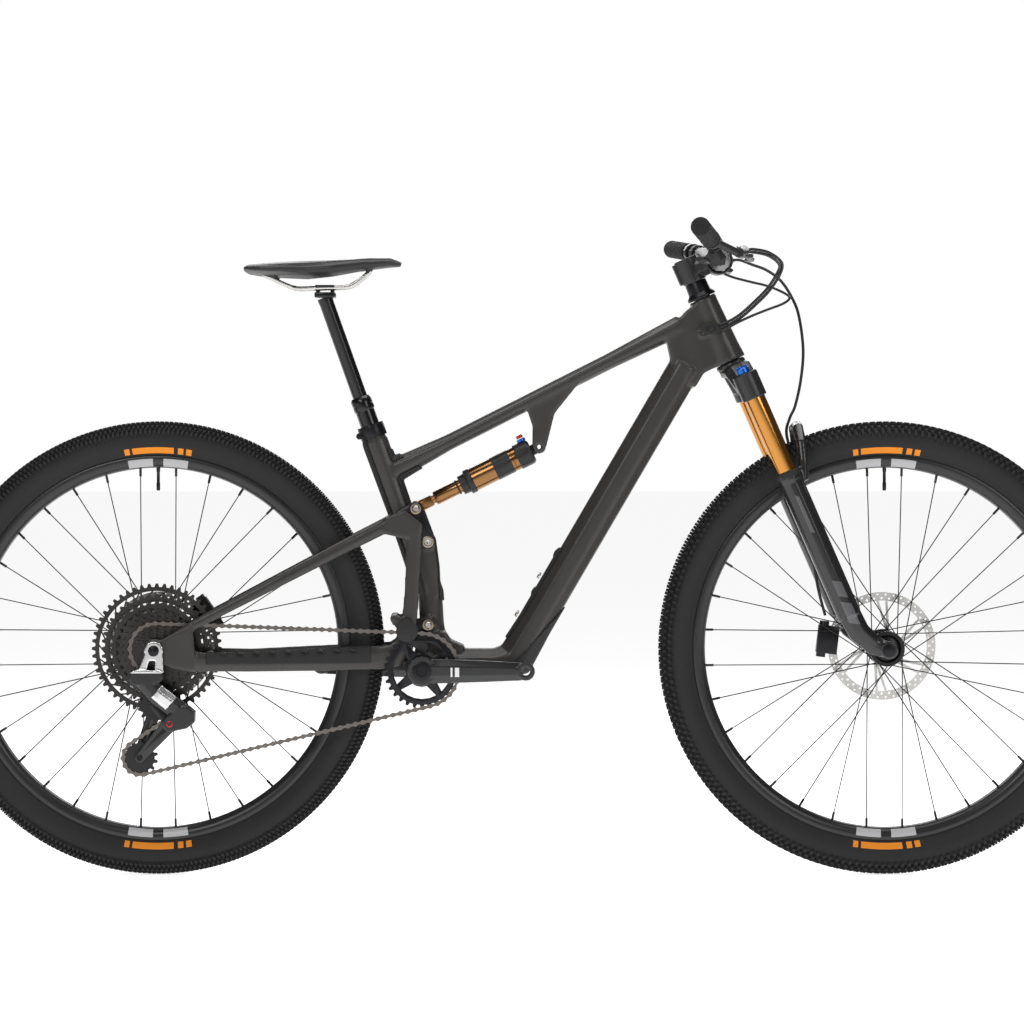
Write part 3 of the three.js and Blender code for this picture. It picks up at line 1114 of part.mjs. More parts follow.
const HOSE_STEPS = 24;
add('rear_hose_pair', cord([
  [359.6, -156, 1023], [374, -146, 1024.5], [400, -122, 1020], [421, -92, 1006], [419, -68, 989],
  [404, -54, 965], [385, -45, 945], [362, -38, 924], [342, -33, 911.5], [326.5, -30, 906.2],
], HOSE_RADIUS, HOSE_STEPS, HOSE_RADIUS), BLACK, 0.5, 0);
add('dropper_housing', cord([
  [346, 174, 1001], [362, 150, 993], [388, 112, 984], [415, 70, 975], [438, 28, 962], [444, 2, 953],
  [431, -18, 943], [402, -32, 932], [375, -40, 921], [350, -41, 909], [332, -38.5, 898],
], HOUSING_RADIUS, HOSE_STEPS), BLACK, 0.5, 0);

const legSide = (ahead, y, along) => at3(fromCrown(ahead, along), y);
add('front_brake_hose', cord([
  [358.5, 156, 1021.5], [372, 142, 1022], [392, 118, 1013], [414, 96, 1003], [436, 80, 985], [453, 70, 958],
  [465, 64, 926], [472, 60, 870], [468, 56, 820], [458, 52, 775], legSide(57, 47, LEG_TOP + 74),
  legSide(41, 43, LEG_TOP + 50), legSide(33, 40.5, LEG_TOP - 12), legSide(22, 38.5, LEG_TOP - 60),
  legSide(6, 38.5, LEG_TOP - 130), legSide(-12, 38.5, LEG_TOP - 200), legSide(-20, 39, axleAlong + 84),
], HOSE_RADIUS, 36), BLACK, 0.5, 0);

export default bike;
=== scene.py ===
import json
import math

import bpy
from mathutils import Matrix, Vector

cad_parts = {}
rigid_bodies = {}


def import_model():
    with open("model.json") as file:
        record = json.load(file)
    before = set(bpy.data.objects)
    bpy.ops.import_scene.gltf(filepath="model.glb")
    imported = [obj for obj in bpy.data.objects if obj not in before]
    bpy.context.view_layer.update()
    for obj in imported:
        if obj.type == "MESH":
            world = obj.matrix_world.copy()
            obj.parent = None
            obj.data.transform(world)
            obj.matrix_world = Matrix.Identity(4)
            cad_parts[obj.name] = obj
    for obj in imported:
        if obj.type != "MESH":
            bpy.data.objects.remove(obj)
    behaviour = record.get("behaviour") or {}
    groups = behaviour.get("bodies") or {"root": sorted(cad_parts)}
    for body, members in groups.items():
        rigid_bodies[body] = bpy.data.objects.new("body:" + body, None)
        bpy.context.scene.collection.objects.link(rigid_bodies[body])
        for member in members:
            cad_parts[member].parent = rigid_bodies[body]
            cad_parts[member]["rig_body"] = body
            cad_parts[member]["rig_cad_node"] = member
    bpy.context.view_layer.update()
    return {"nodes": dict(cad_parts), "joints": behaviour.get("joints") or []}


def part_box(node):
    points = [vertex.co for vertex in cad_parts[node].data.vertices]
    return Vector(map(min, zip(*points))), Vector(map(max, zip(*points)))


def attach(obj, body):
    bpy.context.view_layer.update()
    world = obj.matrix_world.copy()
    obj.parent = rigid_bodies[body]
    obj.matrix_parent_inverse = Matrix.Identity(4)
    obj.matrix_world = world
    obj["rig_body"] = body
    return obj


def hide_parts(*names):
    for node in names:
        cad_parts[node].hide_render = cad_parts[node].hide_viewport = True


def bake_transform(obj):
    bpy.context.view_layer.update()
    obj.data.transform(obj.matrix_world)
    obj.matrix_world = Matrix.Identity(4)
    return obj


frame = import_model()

# ---------------------------------------------------------------- studio
# A pale seamless floor under wide soft lights, and a level camera square to the drive side of the bike,
# with its lens shifted so that the bike stands low in the picture.
bpy.ops.object.select_all(action="DESELECT")
bpy.ops.object.camera_add(location=(-0.0932, -6.0, 0.7595), rotation=(math.pi / 2, 0, 0))
camera = bpy.context.object
camera.data.sensor_width = 36
camera.data.lens = 127.45
camera.data.shift_x = 0.0459
camera.data.shift_y = -0.0947
bpy.context.scene.camera = camera

FLOOR_SIZE = 60
bpy.ops.mesh.primitive_plane_add(size=FLOOR_SIZE, location=(0, 0, -0.0005))
floor = bpy.context.object
floor.name = "floor"
floor_paint = bpy.data.materials.new("pale floor")
floor_paint.use_nodes = True
floor_shader = floor_paint.node_tree.nodes["Principled BSDF"]
floor_shader.inputs["Base Color"].default_value = (0.93, 0.93, 0.93, 1)
floor_shader.inputs["Roughness"].default_value = 0.7
floor_shader.inputs["Specular IOR Level"].default_value = 0.2
floor_shader.inputs["Emission Color"].default_value = (1, 1, 1, 1)
floor_shader.inputs["Emission Strength"].default_value = 0.84
floor_noise = floor_paint.node_tree.nodes.new("ShaderNodeTexNoise")
floor_noise.inputs["Scale"].default_value = 60
floor_bump = floor_paint.node_tree.nodes.new("ShaderNodeBump")
floor_bump.inputs["Strength"].default_value = 0.02
floor_paint.node_tree.links.new(floor_noise.outputs["Fac"], floor_bump.inputs["Height"])
floor_paint.node_tree.links.new(floor_bump.outputs["Normal"], floor_shader.inputs["Normal"])
floor.data.materials.append(floor_paint)

lights = [
    ("soft top", (0.0, -0.2, 3.0), (0, 0, 0), (3.4, 1.6), 70),
    ("soft side", (-1.6, -3.4, 2.4), (math.radians(58), 0, math.radians(-24)), (1.8, 1.0), 34),
    ("soft front", (2.4, -3.0, 1.9), (math.radians(64), 0, math.radians(38)), (1.4, 1.4), 26),
    ("soft back", (0.4, 3.0, 2.0), (math.radians(-60), 0, 0), (3.0, 1.2), 34),
]
for name, place, turn, size, power in lights:
    bpy.ops.object.light_add(type="AREA", location=place, rotation=turn)
    light = bpy.context.object
    light.name = name
    light.data.shape = "RECTANGLE"
    light.data.size, light.data.size_y = size
    light.data.energy = power

world = bpy.data.worlds.new("studio")
world.use_nodes = True
sky, sky_links = world.node_tree.nodes, world.node_tree.links
around = sky["Background"]
around.inputs["Color"].default_value = (1, 1, 1, 1)
around.inputs["Strength"].default_value = 0.10
behind = sky.new("ShaderNodeBackground")
behind.inputs["Color"].default_value = (1, 1, 1, 1)
behind.inputs["Strength"].default_value = 1.0
seen = sky.new("ShaderNodeLightPath")
either = sky.new("ShaderNodeMixShader")
sky_links.new(seen.outputs["Is Camera Ray"], either.inputs[0])
sky_links.new(around.outputs[0], either.inputs[1])
sky_links.new(behind.outputs[0], either.inputs[2])
sky_links.new(either.outputs[0], sky["World Output"].inputs["Surface"])
bpy.context.scene.world = world
bpy.context.scene.view_settings.view_transform = "Standard"

# ---------------------------------------------------------------- front frame
# One hollow moulding of the top, down, seat and head tubes under a satin charcoal lacquer. Its junctions
# are blended, as in a mould, so the plain tubes are remeshed as one skin and relaxed.


def only(piece):
    """Leaves one piece selected, and active."""
    bpy.ops.object.select_all(action="DESELECT")
    piece.select_set(True)
    bpy.context.view_layer.objects.active = piece
    return piece


def edit(piece, choose=None, mode="FACE"):
    """Opens a piece in edit mode with everything selected, or what choose(element) picks."""
    only(piece)
    bpy.ops.object.mode_set(mode="EDIT")
    bpy.ops.mesh.select_mode(type=mode)
    bpy.ops.mesh.select_all(action="DESELECT" if choose else "SELECT")
    if choose:
        bpy.ops.object.mode_set(mode="OBJECT")
        elements = {"FACE": piece.data.polygons, "VERT": piece.data.vertices, "EDGE": piece.data.edges}[mode]
        for element in elements:
            element.select = choose(element)
        bpy.ops.object.mode_set(mode="EDIT")


def object_mode():
    bpy.ops.object.mode_set(mode="OBJECT")


def modify(piece, kind, **settings):
    """Adds a modifier, sets it and applies it."""
    only(piece)
    bpy.ops.object.modifier_add(type=kind)
    modifier = piece.modifiers[-1]
    for name, value in settings.items():
        setattr(modifier, name, value)
    bpy.ops.object.modifier_apply(modifier=modifier.name)


def copy_of(node, name):
    """A free copy of a CAD node, with its corners merged."""
    only(frame["nodes"][node])
    bpy.ops.object.duplicate()
    piece = bpy.context.object
    bpy.ops.object.parent_clear(type="CLEAR_KEEP_TRANSFORM")
    del piece["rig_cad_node"]
    del piece["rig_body"]
    piece.name = name
    piece.data.materials.clear()
    edit(piece)
    bpy.ops.mesh.remove_doubles(threshold=1e-5)
    object_mode()
    return piece


def smooth(piece, angle=30):
    """Shades a piece smooth but for its edges past an angle."""
    only(piece)
    bpy.ops.object.shade_smooth_by_angle(angle=math.radians(angle))
    return piece


def moulded(node, name, grain, passes=8):
    """A CAD node as one blended skin, with voxels of the size `grain`."""
    piece = copy_of(node, name)
    modify(piece, "REMESH", mode="VOXEL", voxel_size=grain)
    modify(piece, "SMOOTH", factor=0.5, iterations=passes)
    only(piece)
    bpy.ops.object.shade_smooth()
    return piece


def machined(node, name, edge=0.0006):
    """A CAD node with its flat faces made whole and its edges broken."""
    piece = copy_of(node, name)
    edit(piece)
    bpy.ops.mesh.dissolve_limited(angle_limit=math.radians(1))
    object_mode()
    modify(piece, "BEVEL", width=edge, segments=2, limit_method="ANGLE", angle_limit=math.radians(35))
    return smooth(piece, 32)


GLOSS_SPREAD = 0.09     # either way of a finish's own roughness
RELIEF_DEPTH = 0.0004
RELIEF_SHARE = 0.45     # the relief stays calm where a face is seen at a slant
SHEEN = 0.32            # dark finishes stay dark under the broad lights
COAT_ROUGHNESS = 0.18


def surface_group():
    """Grain and wear for a surface: mottled colour, uneven gloss and a fine relief."""
    group = bpy.data.node_groups.new("surface wear", "ShaderNodeTree")
    sockets = [
        ("Colour", "NodeSocketColor", None), ("Worn", "NodeSocketColor", None),
        ("Grain", "NodeSocketFloat", 400), ("Mottle", "NodeSocketFloat", 0.3),
        ("Gloss", "NodeSocketFloat", 0.4), ("Relief", "NodeSocketFloat", 0.1),
    ]
    for label, kind, value in sockets:
        socket = group.interface.new_socket(label, in_out="INPUT", socket_type=kind)
        if value is not None:
            socket.default_value = value
    for label, kind in [("Colour", "NodeSocketColor"), ("Roughness", "NodeSocketFloat"),
                        ("Normal", "NodeSocketVector")]:
        group.interface.new_socket(label, in_out="OUTPUT", socket_type=kind)
    nodes, links = group.nodes, group.links
    given, out = nodes.new("NodeGroupInput"), nodes.new("NodeGroupOutput")
    place = nodes.new("ShaderNodeTexCoord")
    fine, broad = nodes.new("ShaderNodeTexNoise"), nodes.new("ShaderNodeTexNoise")
    fine.inputs["Detail"].default_value = 6
    broad.inputs["Scale"].default_value = 22
    broad.inputs["Detail"].default_value = 4
    links.new(given.outputs["Grain"], fine.inputs["Scale"])
    blend = nodes.new("ShaderNodeMix")
    blend.data_type = "RGBA"
    share, both, add = (nodes.new("ShaderNodeMath") for _ in range(3))
    share.operation = both.operation = "MULTIPLY"
    add.operation = "ADD"
    spread = nodes.new("ShaderNodeMapRange")
    spread.inputs["To Min"].default_value = -GLOSS_SPREAD
    spread.inputs["To Max"].default_value = GLOSS_SPREAD
    bump = nodes.new("ShaderNodeBump")
    bump.inputs["Distance"].default_value = RELIEF_DEPTH
    for texture in (fine, broad):
        links.new(place.outputs["Object"], texture.inputs["Vector"])
    links.new(fine.outputs["Fac"], both.inputs[0])
    links.new(broad.outputs["Fac"], both.inputs[1])
    links.new(both.outputs[0], share.inputs[0])
    links.new(given.outputs["Mottle"], share.inputs[1])
    links.new(share.outputs[0], blend.inputs["Factor"])
    links.new(given.outputs["Colour"], blend.inputs["A"])
    links.new(given.outputs["Worn"], blend.inputs["B"])
    links.new(broad.outputs["Fac"], spread.inputs["Value"])
    links.new(spread.outputs["Result"], add.inputs[0])
    links.new(given.outputs["Gloss"], add.inputs[1])
    links.new(given.outputs["Relief"], bump.inputs["Strength"])
    links.new(fine.outputs["Fac"], bump.inputs["Height"])
    links.new(blend.outputs["Result"], out.inputs["Colour"])
    links.new(add.outputs[0], out.inputs["Roughness"])
    links.new(bump.outputs["Normal"], out.inputs["Normal"])
    return group


WEAR = surface_group()


def finish(name, colour, gloss, metal=0.0, coat=0.0, worn=None, grain=500, mottle=0.5, relief=0.12):
    """A material of one finish with grain and wear over it."""
    material = bpy.data.materials.new(name)
    material.use_nodes = True
    nodes, links = material.node_tree.nodes, material.node_tree.links
    shader = nodes["Principled BSDF"]
    shader.inputs["Metallic"].default_value = metal
    shader.inputs["Coat Weight"].default_value = coat
    shader.inputs["Coat Roughness"].default_value = COAT_ROUGHNESS
    if not metal:
        shader.inputs["Specular IOR Level"].default_value = SHEEN
    wear = nodes.new("ShaderNodeGroup")
    wear.node_tree = WEAR
    wear.name = "wear"
    wear.inputs["Colour"].default_value = (*colour, 1)
    wear.inputs["Worn"].default_value = (*(worn or [min(1, c * 1.7 + 0.006) for c in colour]), 1)
    wear.inputs["Grain"].default_value = grain
    wear.inputs["Mottle"].default_value = mottle
    wear.inputs["Gloss"].default_value = gloss
    wear.inputs["Relief"].default_value = relief * RELIEF_SHARE
    links.new(wear.outputs["Colour"], shader.inputs["Base Color"])
    links.new(wear.outputs["Roughness"], shader.inputs["Roughness"])
    links.new(wear.outputs["Normal"], shader.inputs["Normal"])
    return material


def fit(piece, material, body, slot, *nodes):
    """Gives a piece its finish, binds it to its body, and hides the CAD nodes that it stands for."""
    piece.data.materials.clear()
    piece.data.materials.append(material)
    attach(piece, body)
    if nodes:
        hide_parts(*nodes)
    return piece


def marked(material, colour, mask):
    """Paints a colour over a material's own where mask(math_of, x, y, z) gives 1."""
    nodes, links = material.node_tree.nodes, material.node_tree.links
    place = nodes.new("ShaderNodeTexCoord")
    split = nodes.new("ShaderNodeSeparateXYZ")
    links.new(place.outputs["Object"], split.inputs[0])

    def math_of(operation, *values):
        node = nodes.new("ShaderNodeMath")
        node.operation = operation
        for socket, value in zip(node.inputs, values):
            if isinstance(value, (int, float)):
                socket.default_value = value
            else:
                links.new(value, socket)
        return node.outputs[0]

    shader = nodes["Principled BSDF"]
    under = shader.inputs["Base Color"].links[0].from_socket
    paint = nodes.new("ShaderNodeMix")
    paint.data_type = "RGBA"
    links.new(under, paint.inputs["A"])
    paint.inputs["B"].default_value = (*colour, 1)
    links.new(mask(math_of, *split.outputs), paint.inputs["Factor"])
    links.new(paint.outputs["Result"], shader.inputs["Base Color"])
    return material


def within(math_of, value, low, high):
    """1 where a value is between two limits."""
    middle, half = (low + high) / 2, (high - low) / 2
    return math_of("LESS_THAN", math_of("ABSOLUTE", math_of("SUBTRACT", value, middle)), half)


def every(math_of, *masks):
    """1 where all the masks are 1."""
    whole = masks[0]
    for mask in masks[1:]:
        whole = math_of("MULTIPLY", whole, mask)
    return whole


CHARCOAL = (0.0245, 0.0224, 0.0204)
lacquer = finish("charcoal lacquer", CHARCOAL, 0.40, coat=0.25, worn=(0.06, 0.056, 0.052), grain=900,
                 relief=0.05)
front_frame = moulded("front_frame", "frame", 0.0021, passes=16)
fit(front_frame, lacquer, "frame", "frame_paint", "front_frame")


def middle_of(node):
    """The middle of a CAD node's box."""
    low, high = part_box(node)
    return (low + high) / 2


rear_axle = middle_of("rear_tyre")
front_axle = middle_of("front_tyre")
bracket = middle_of("bottom_bracket")
joint = {j["name"]: j for j in frame["joints"]}
crown_race = Vector(joint["steering"]["pos_m"])
STEER_AXIS = Vector(joint["steering"]["axis"])
STEER_AHEAD = Vector((STEER_AXIS.z, 0, -STEER_AXIS.x))
upper_frame_pivot = Vector(joint["rear_suspension"]["pos_m"])
upper_stay_pivot = Vector(joint["upper_stay_pivot"]["pos_m"])
lower_frame_pivot = Vector(joint["lower_link_pivot"]["pos_m"])
shock_pivot = Vector(joint["shock_eye"]["pos_m"])
RUBBER_BLACK = (0.012, 0.012, 0.012)


def skin_of(piece, name, choose, lift, thick):
    """A cover cut from a piece's own surface, lifted off it and given a thickness."""
    only(piece)
    bpy.ops.object.duplicate()
    cover = bpy.context.object
    bpy.ops.object.parent_clear(type="CLEAR_KEEP_TRANSFORM")
    for key in list(cover.keys()):
        if key.startswith("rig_"):
            del cover[key]
    cover.name = name
    edit(cover, lambda face: not choose(face.center, face.normal))
    bpy.ops.mesh.delete(type="FACE")
    object_mode()
    modify(cover, "SOLIDIFY", thickness=thick, offset=1)
    edit(cover)
    bpy.ops.transform.shrink_fatten(value=lift)
    object_mode()
    only(cover)
    bpy.ops.object.shade_smooth()
    return cover


rubber = finish("guard rubber", RUBBER_BLACK, 0.62, worn=(0.03, 0.03, 0.03), grain=1400, relief=0.35)
keel = Vector((bracket.x + 0.153, 0, bracket.z + 0.016))
tube_head = crown_race - 0.068 * STEER_AHEAD + 0.028 * STEER_AXIS
down_tube = (tube_head - keel).normalized()
tube_under = Vector((down_tube.z, 0, -down_tube.x))


def on_guard(centre, _):
    along, below = (centre - keel).dot(down_tube), (centre - keel).dot(tube_under)
    return -0.05 < along < 0.122 and below > 0.003 + 0.21 * max(along, 0)


guard = skin_of(front_frame, "down_tube_guard", on_guard, 0.0004, 0.0016)
fit(guard, rubber, "frame", "black_plastic")


def on_strip(centre, _):
    along, above = (centre - keel).dot(down_tube), -(centre - keel).dot(tube_under)
    return 0.023 < along < 0.195 and abs(centre.y) < 0.0135 and above > 0.012


strip = skin_of(front_frame, "boss_strip", on_strip, 0.0006, 0.0022)
fit(strip, rubber, "frame", "black_plastic")

# ---------------------------------------------------------------- bosses and cable port on the frame
# Two aluminium bottle bosses with button-head bolts stand in the strip on the down tube, and a moulded
# rubber port closes the hole in the head tube's side where the hoses go in.


def primitive(kind, name, **settings):
    """A new mesh primitive, selected alone."""
    bpy.ops.object.select_all(action="DESELECT")
    getattr(bpy.ops.mesh, f"primitive_{kind}_add")(**settings)
    piece = bpy.context.object
    piece.name = name
    return piece


def facing_out(piece):
    """Turns a closed piece's faces outwards."""
    edit(piece)
    bpy.ops.mesh.normals_make_consistent(inside=False)
    object_mode()
    return piece


def turned(name, profile, at, axis, steps=48, angle=35):
    """A closed (radius, distance) outline spun a full turn about an axis through `at`."""
    axis = Vector(axis).normalized()
    out = axis.orthogonal().normalized()
    piece = primitive("circle", name, vertices=len(profile), fill_type="NOTHING")
    for vertex, (radius, distance) in zip(piece.data.vertices, profile):
        vertex.co = Vector(at) + axis * distance + out * radius
    edit(piece)
    bpy.ops.mesh.spin(steps=steps, angle=2 * math.pi, center=Vector(at), axis=axis)
    bpy.ops.mesh.select_all(action="SELECT")
    bpy.ops.mesh.remove_doubles(threshold=1e-6)
    bpy.ops.mesh.delete_loose(use_verts=True, use_edges=True, use_faces=False)
    bpy.ops.mesh.select_all(action="SELECT")
    bpy.ops.mesh.normals_make_consistent(inside=False)
    object_mode()
    return smooth(piece, angle)


def joined(name, *pieces):
    """Several loose pieces as one object."""
    bpy.ops.object.select_all(action="DESELECT")
    for piece in pieces:
        piece.select_set(True)
    bpy.context.view_layer.objects.active = pieces[0]
    bpy.ops.object.join()
    pieces[0].name = name
    return pieces[0]


def bolt(name, at, axis, radius, height, socket=0.45):
    """A button-head bolt with a hexagonal socket, standing on a surface at `at`."""
    return turned(name, [
        (0, -0.001), (radius, -0.001), (radius, height * 0.5), (radius * 0.8, height),
        (radius * socket, height), (radius * socket * 0.9, height * 0.35), (0, height * 0.35),
    ], at, axis, steps=6 * 4)


titanium = finish("bolt titanium", (0.42, 0.40, 0.37), 0.3, metal=1.0, grain=1200, relief=0.05)
boss_places = [keel + 0.066 * down_tube, keel + 0.139 * down_tube]
for number, place in enumerate(boss_places):
    face = place - 0.0335 * tube_under
    boss = bolt(f"bottle_boss_{number + 1}", face, -tube_under, 0.0062, 0.0034)
    fit(boss, titanium, "frame", "steel")

port_centre = crown_race + 0.065 * STEER_AXIS - 0.004 * STEER_AHEAD
port = turned("cable_port", [
    (0, 0), (0.0125, 0), (0.0125, 0.0022), (0.010, 0.0034), (0.006, 0.0036), (0.005, 0.0016), (0, 0.0016),
], (0, 0, 0), (0, -1, 0))
port_place = Matrix.Translation((port_centre.x - 0.005, -0.0272, port_centre.z))
port.data.transform(port_place @ Matrix.Diagonal((1.45, 1, 0.8, 1)))
fit(port, rubber, "frame", "black_plastic")

# ---------------------------------------------------------------- bottom bracket, seat clamp and chain guide
# Black anodised aluminium: the bearing cups screwed into the shell, the ring that pinches the seat tube,
# and the moulded plastic guide that keeps the chain over the ring, bolted to its tab.
anodised = finish("black anodised", (0.016, 0.016, 0.018), 0.34, metal=0.9, worn=(0.07, 0.07, 0.075),
                  grain=1500, relief=0.08)
plastic = finish("moulded plastic", (0.014, 0.014, 0.015), 0.5, grain=1800, relief=0.22)
steel = finish("brushed steel", (0.55, 0.54, 0.52), 0.28, metal=1.0, worn=(0.35, 0.34, 0.33), grain=1600,
               relief=0.06)
fit(machined("bottom_bracket", "bearing_cups", 0.0008), anodised, "frame", "blue_anodised", "bottom_bracket")
clamp_ring = machined("seat_clamp", "seat_clamp_ring", 0.0005)
fit(clamp_ring, anodised, "frame", "blue_anodised", "seat_clamp")
fit(machined("chain_guide", "guide", 0.0008), plastic, "frame", "black_plastic", "chain_guide")

# ---------------------------------------------------------------- dropper seatpost
# Black hard-anodised tubes: the outer one held in the seat tube with its grooved wiper collar, and the
# inner one that slides in it, with the two-bolt head that grips the rails.
SEAT_AXIS = -Vector(joint["dropper_slide"]["axis"])
seat_top = bracket + Vector((-0.0867, 0, 0.4024))
black_tube = finish("hard black tube", (0.010, 0.010, 0.011), 0.22, metal=0.7, coat=0.4, grain=2000,
                    mottle=0.2, relief=0.03)
outer_post = turned("outer_post", [
    (0.0126, -0.244), (0.0157, -0.244), (0.0158, 0.0245), (0.0166, 0.0255), (0.0174, 0.028), (0.0174, 0.0335),
    (0.0169, 0.034), (0.0169, 0.0355), (0.0174, 0.036), (0.0174, 0.0445), (0.0168, 0.0455), (0.0148, 0.0488),
    (0.0126, 0.0488),
], seat_top, SEAT_AXIS, 64)
fit(outer_post, black_tube, "frame", "black_alloy", "dropper_outer_tube")
inner_post = turned("inner_post", [
    (0, -0.04), (0.0119, -0.04), (0.0122, -0.038), (0.0122, 0.214), (0.0128, 0.217), (0.0128, 0.2235),
    (0.0, 0.2235),
], seat_top, SEAT_AXIS, 64)
head = seat_top + 0.221 * SEAT_AXIS


def block(name, middle, size, edge, turn=0.0, segments=3):
    """A bevelled block with its middle, full sizes and a turn about Y in degrees."""
    piece = primitive("cube", name, size=1)
    edit(piece)
    bpy.ops.transform.resize(value=size)
    object_mode()
    piece.data.transform(Matrix.Translation(Vector(middle)) @ Matrix.Rotation(math.radians(turn), 4, "Y"))
    modify(piece, "BEVEL", width=edge, segments=segments, limit_method="ANGLE")
    return smooth(piece, 40)


cradle_low = block("cradle_low", head + Vector((0, 0, 0.0065)), (0.034, 0.052, 0.009), 0.002)
cradle_parts = [inner_post, cradle_low]
for side in (-1, 1):
    cradle_parts.append(block("cradle_top", head + Vector((0, side * 0.022, 0.0205)),
                              (0.032, 0.013, 0.0045), 0.0015))
for ahead in (-0.012, 0.012):
    cradle_parts.append(bolt("cradle_bolt", head + Vector((ahead, 0, 0.0105)), (0, 0, 1), 0.0035, 0.0105))
post_stack = joined("post_and_head", *cradle_parts)
fit(post_stack, black_tube, "seat", "black_alloy", "dropper_post")

# ---------------------------------------------------------------- saddle
# A foam pad under a smooth black microfibre cover with a shallow channel along its middle, on two bent
# silver steel rails that the post's head grips.
cover_cloth = finish("saddle cover", (0.012, 0.012, 0.012), 0.5, coat=0.15, worn=(0.045, 0.045, 0.045),
                     grain=2600, relief=0.3)
cover = moulded("saddle", "saddle_cover", 0.0022, passes=7)


def tube(name, points, radius, sides=12, steps=8):
    """A round tube along a smooth line through points, closed at both ends."""
    line = []
    reach = [points[0]] + list(points) + [points[-1]]
    for start in range(len(points) - 1):
        a, b, c, d = [Vector(p) for p in reach[start:start + 4]]
        for step in range(steps):
            t = step / steps
            line.append(0.5 * ((2 * b) + (c - a) * t + (2 * a - 5 * b + 4 * c - d) * t ** 2
                               + (3 * b - a - 3 * c + d) * t ** 3))
    line.append(Vector(points[-1]))
    path = bpy.data.curves.new(name, "CURVE")
    path.dimensions = "3D"
    path.bevel_depth = radius
    path.bevel_resolution = max(1, sides // 4 - 1)
    path.use_fill_caps = True
    spline = path.splines.new("POLY")
    spline.points.add(len(line) - 1)
    for point, place in zip(spline.points, line):
        point.co = (*place, 1)
    piece = bpy.data.objects.new(name, path)
    bpy.context.collection.objects.link(piece)
    only(piece)
    bpy.ops.object.convert(target="MESH")
    piece = bpy.context.object
    edit(piece)
    bpy.ops.mesh.remove_doubles(threshold=1e-6)
    bpy.ops.mesh.normals_make_consistent(inside=False)
    object_mode()
    return smooth(piece, 50)


for vertex in cover.data.vertices:
    sideways = abs(vertex.co.y)
    along = (vertex.co.x - head.x) / 0.13
    if vertex.co.z > head.z + 0.046 and sideways < 0.012 and -0.75 < along < 0.55:
        vertex.co.z -= 0.0022 * (1 - (sideways / 0.012) ** 2) * min(1, (0.75 + along) * 4, (0.55 - along) * 4)
fit(cover, cover_cloth, "seat", "black_plastic", "saddle")
rails = []
for side in (-1, 1):
    rails.append(tube("rail", [
        head + Vector((x, side * y, z)) for x, y, z in [
            (-0.102, 0.031, 0.0405), (-0.088, 0.030, 0.034), (-0.062, 0.025, 0.022), (-0.044, 0.022, 0.017),
            (0.0, 0.022, 0.0185), (0.038, 0.022, 0.020), (0.058, 0.017, 0.031), (0.075, 0.010, 0.045),
        ]
    ], 0.0037, 16, 6))
fit(joined("saddle_rails", *rails), steel, "seat", "steel")

# ---------------------------------------------------------------- rear triangle
# One hollow moulding of chainstays, seatstays and uprights in the frame's lacquer, with a ribbed rubber
# protector pressed on to the drive-side chainstay and titanium pivot bolts over champagne washers.
stays = moulded("rear_triangle", "stays", 0.0019, passes=10)
fit(stays, lacquer, "swingarm", "frame_paint", "rear_triangle")


def on_chainstay(centre, normal):
    return (rear_axle.x + 0.085 < centre.x < bracket.x - 0.085 and centre.y < -0.035
            and centre.z < bracket.z + 0.045
            and (normal.z > 0.25 or normal.y < -0.92 and centre.z > rear_axle.z - 0.022))


protector = skin_of(stays, "chainstay_protector", on_chainstay, 0.0003, 0.0015)
fit(protector, rubber, "swingarm", "black_plastic")
ribs = []
for number in range(9):
    share = (number + 0.5) / 9
    place = Vector((rear_axle.x + 0.10, -0.0735, rear_axle.z - 0.006)).lerp(
        Vector((bracket.x - 0.10, -0.053, bracket.z + 0.0345)), share)
    ribs.append(block("rib", place, (0.0105, 0.008, 0.004), 0.0012, turn=12))
fit(joined("protector_ribs", *ribs), rubber, "swingarm", "black_plastic")

champagne = finish("champagne washer", (0.30, 0.25, 0.19), 0.3, metal=1.0, grain=1500, relief=0.05)
SIDES = (("right", -1), ("left", 1))
pivots = [
    (upper_stay_pivot, "upper_link"), (upper_frame_pivot, "upper_link"), (lower_frame_pivot, "lower_link"),
]
for number, (place, body) in enumerate(pivots):
    proud = 0.22 if number == 1 else 1.0      # the uprights pass close over the upper frame pivot
    for name, side in SIDES:
        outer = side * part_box("upper_link")[1].y
        washer = turned(f"pivot_washer_{number}_{name}", [
            (0, -0.0005), (0.0088, -0.0005), (0.0094, 0.0006 * proud), (0.0088, 0.0016 * proud),
            (0.0062, 0.0018 * proud), (0.0056, 0.0009 * proud), (0, 0.0009 * proud),
        ], (place.x, outer, place.z), (0, side, 0))
        fit(washer, champagne, body, "steel")
        head_bolt = bolt(f"pivot_bolt_{number}_{name}", (place.x, outer + side * 0.0009 * proud, place.z),
                         (0, side, 0), 0.0054, 0.0022 if proud == 1 else 0.0002)
        fit(head_bolt, titanium, body, "steel")

# ---------------------------------------------------------------- links and rear axle
# Black anodised forged links with rounded edges, the lower one almost hidden behind the uprights, and the
# through axle with its washer and head.
for node in ("upper_link", "lower_link"):
    fit(machined(node, node.replace("link", "forging"), 0.0009), anodised, node, "black_alloy", node)
fit(machined("rear_axle", "rear_through_axle", 0.0007), anodised, "swingarm", "black_alloy", "rear_axle")

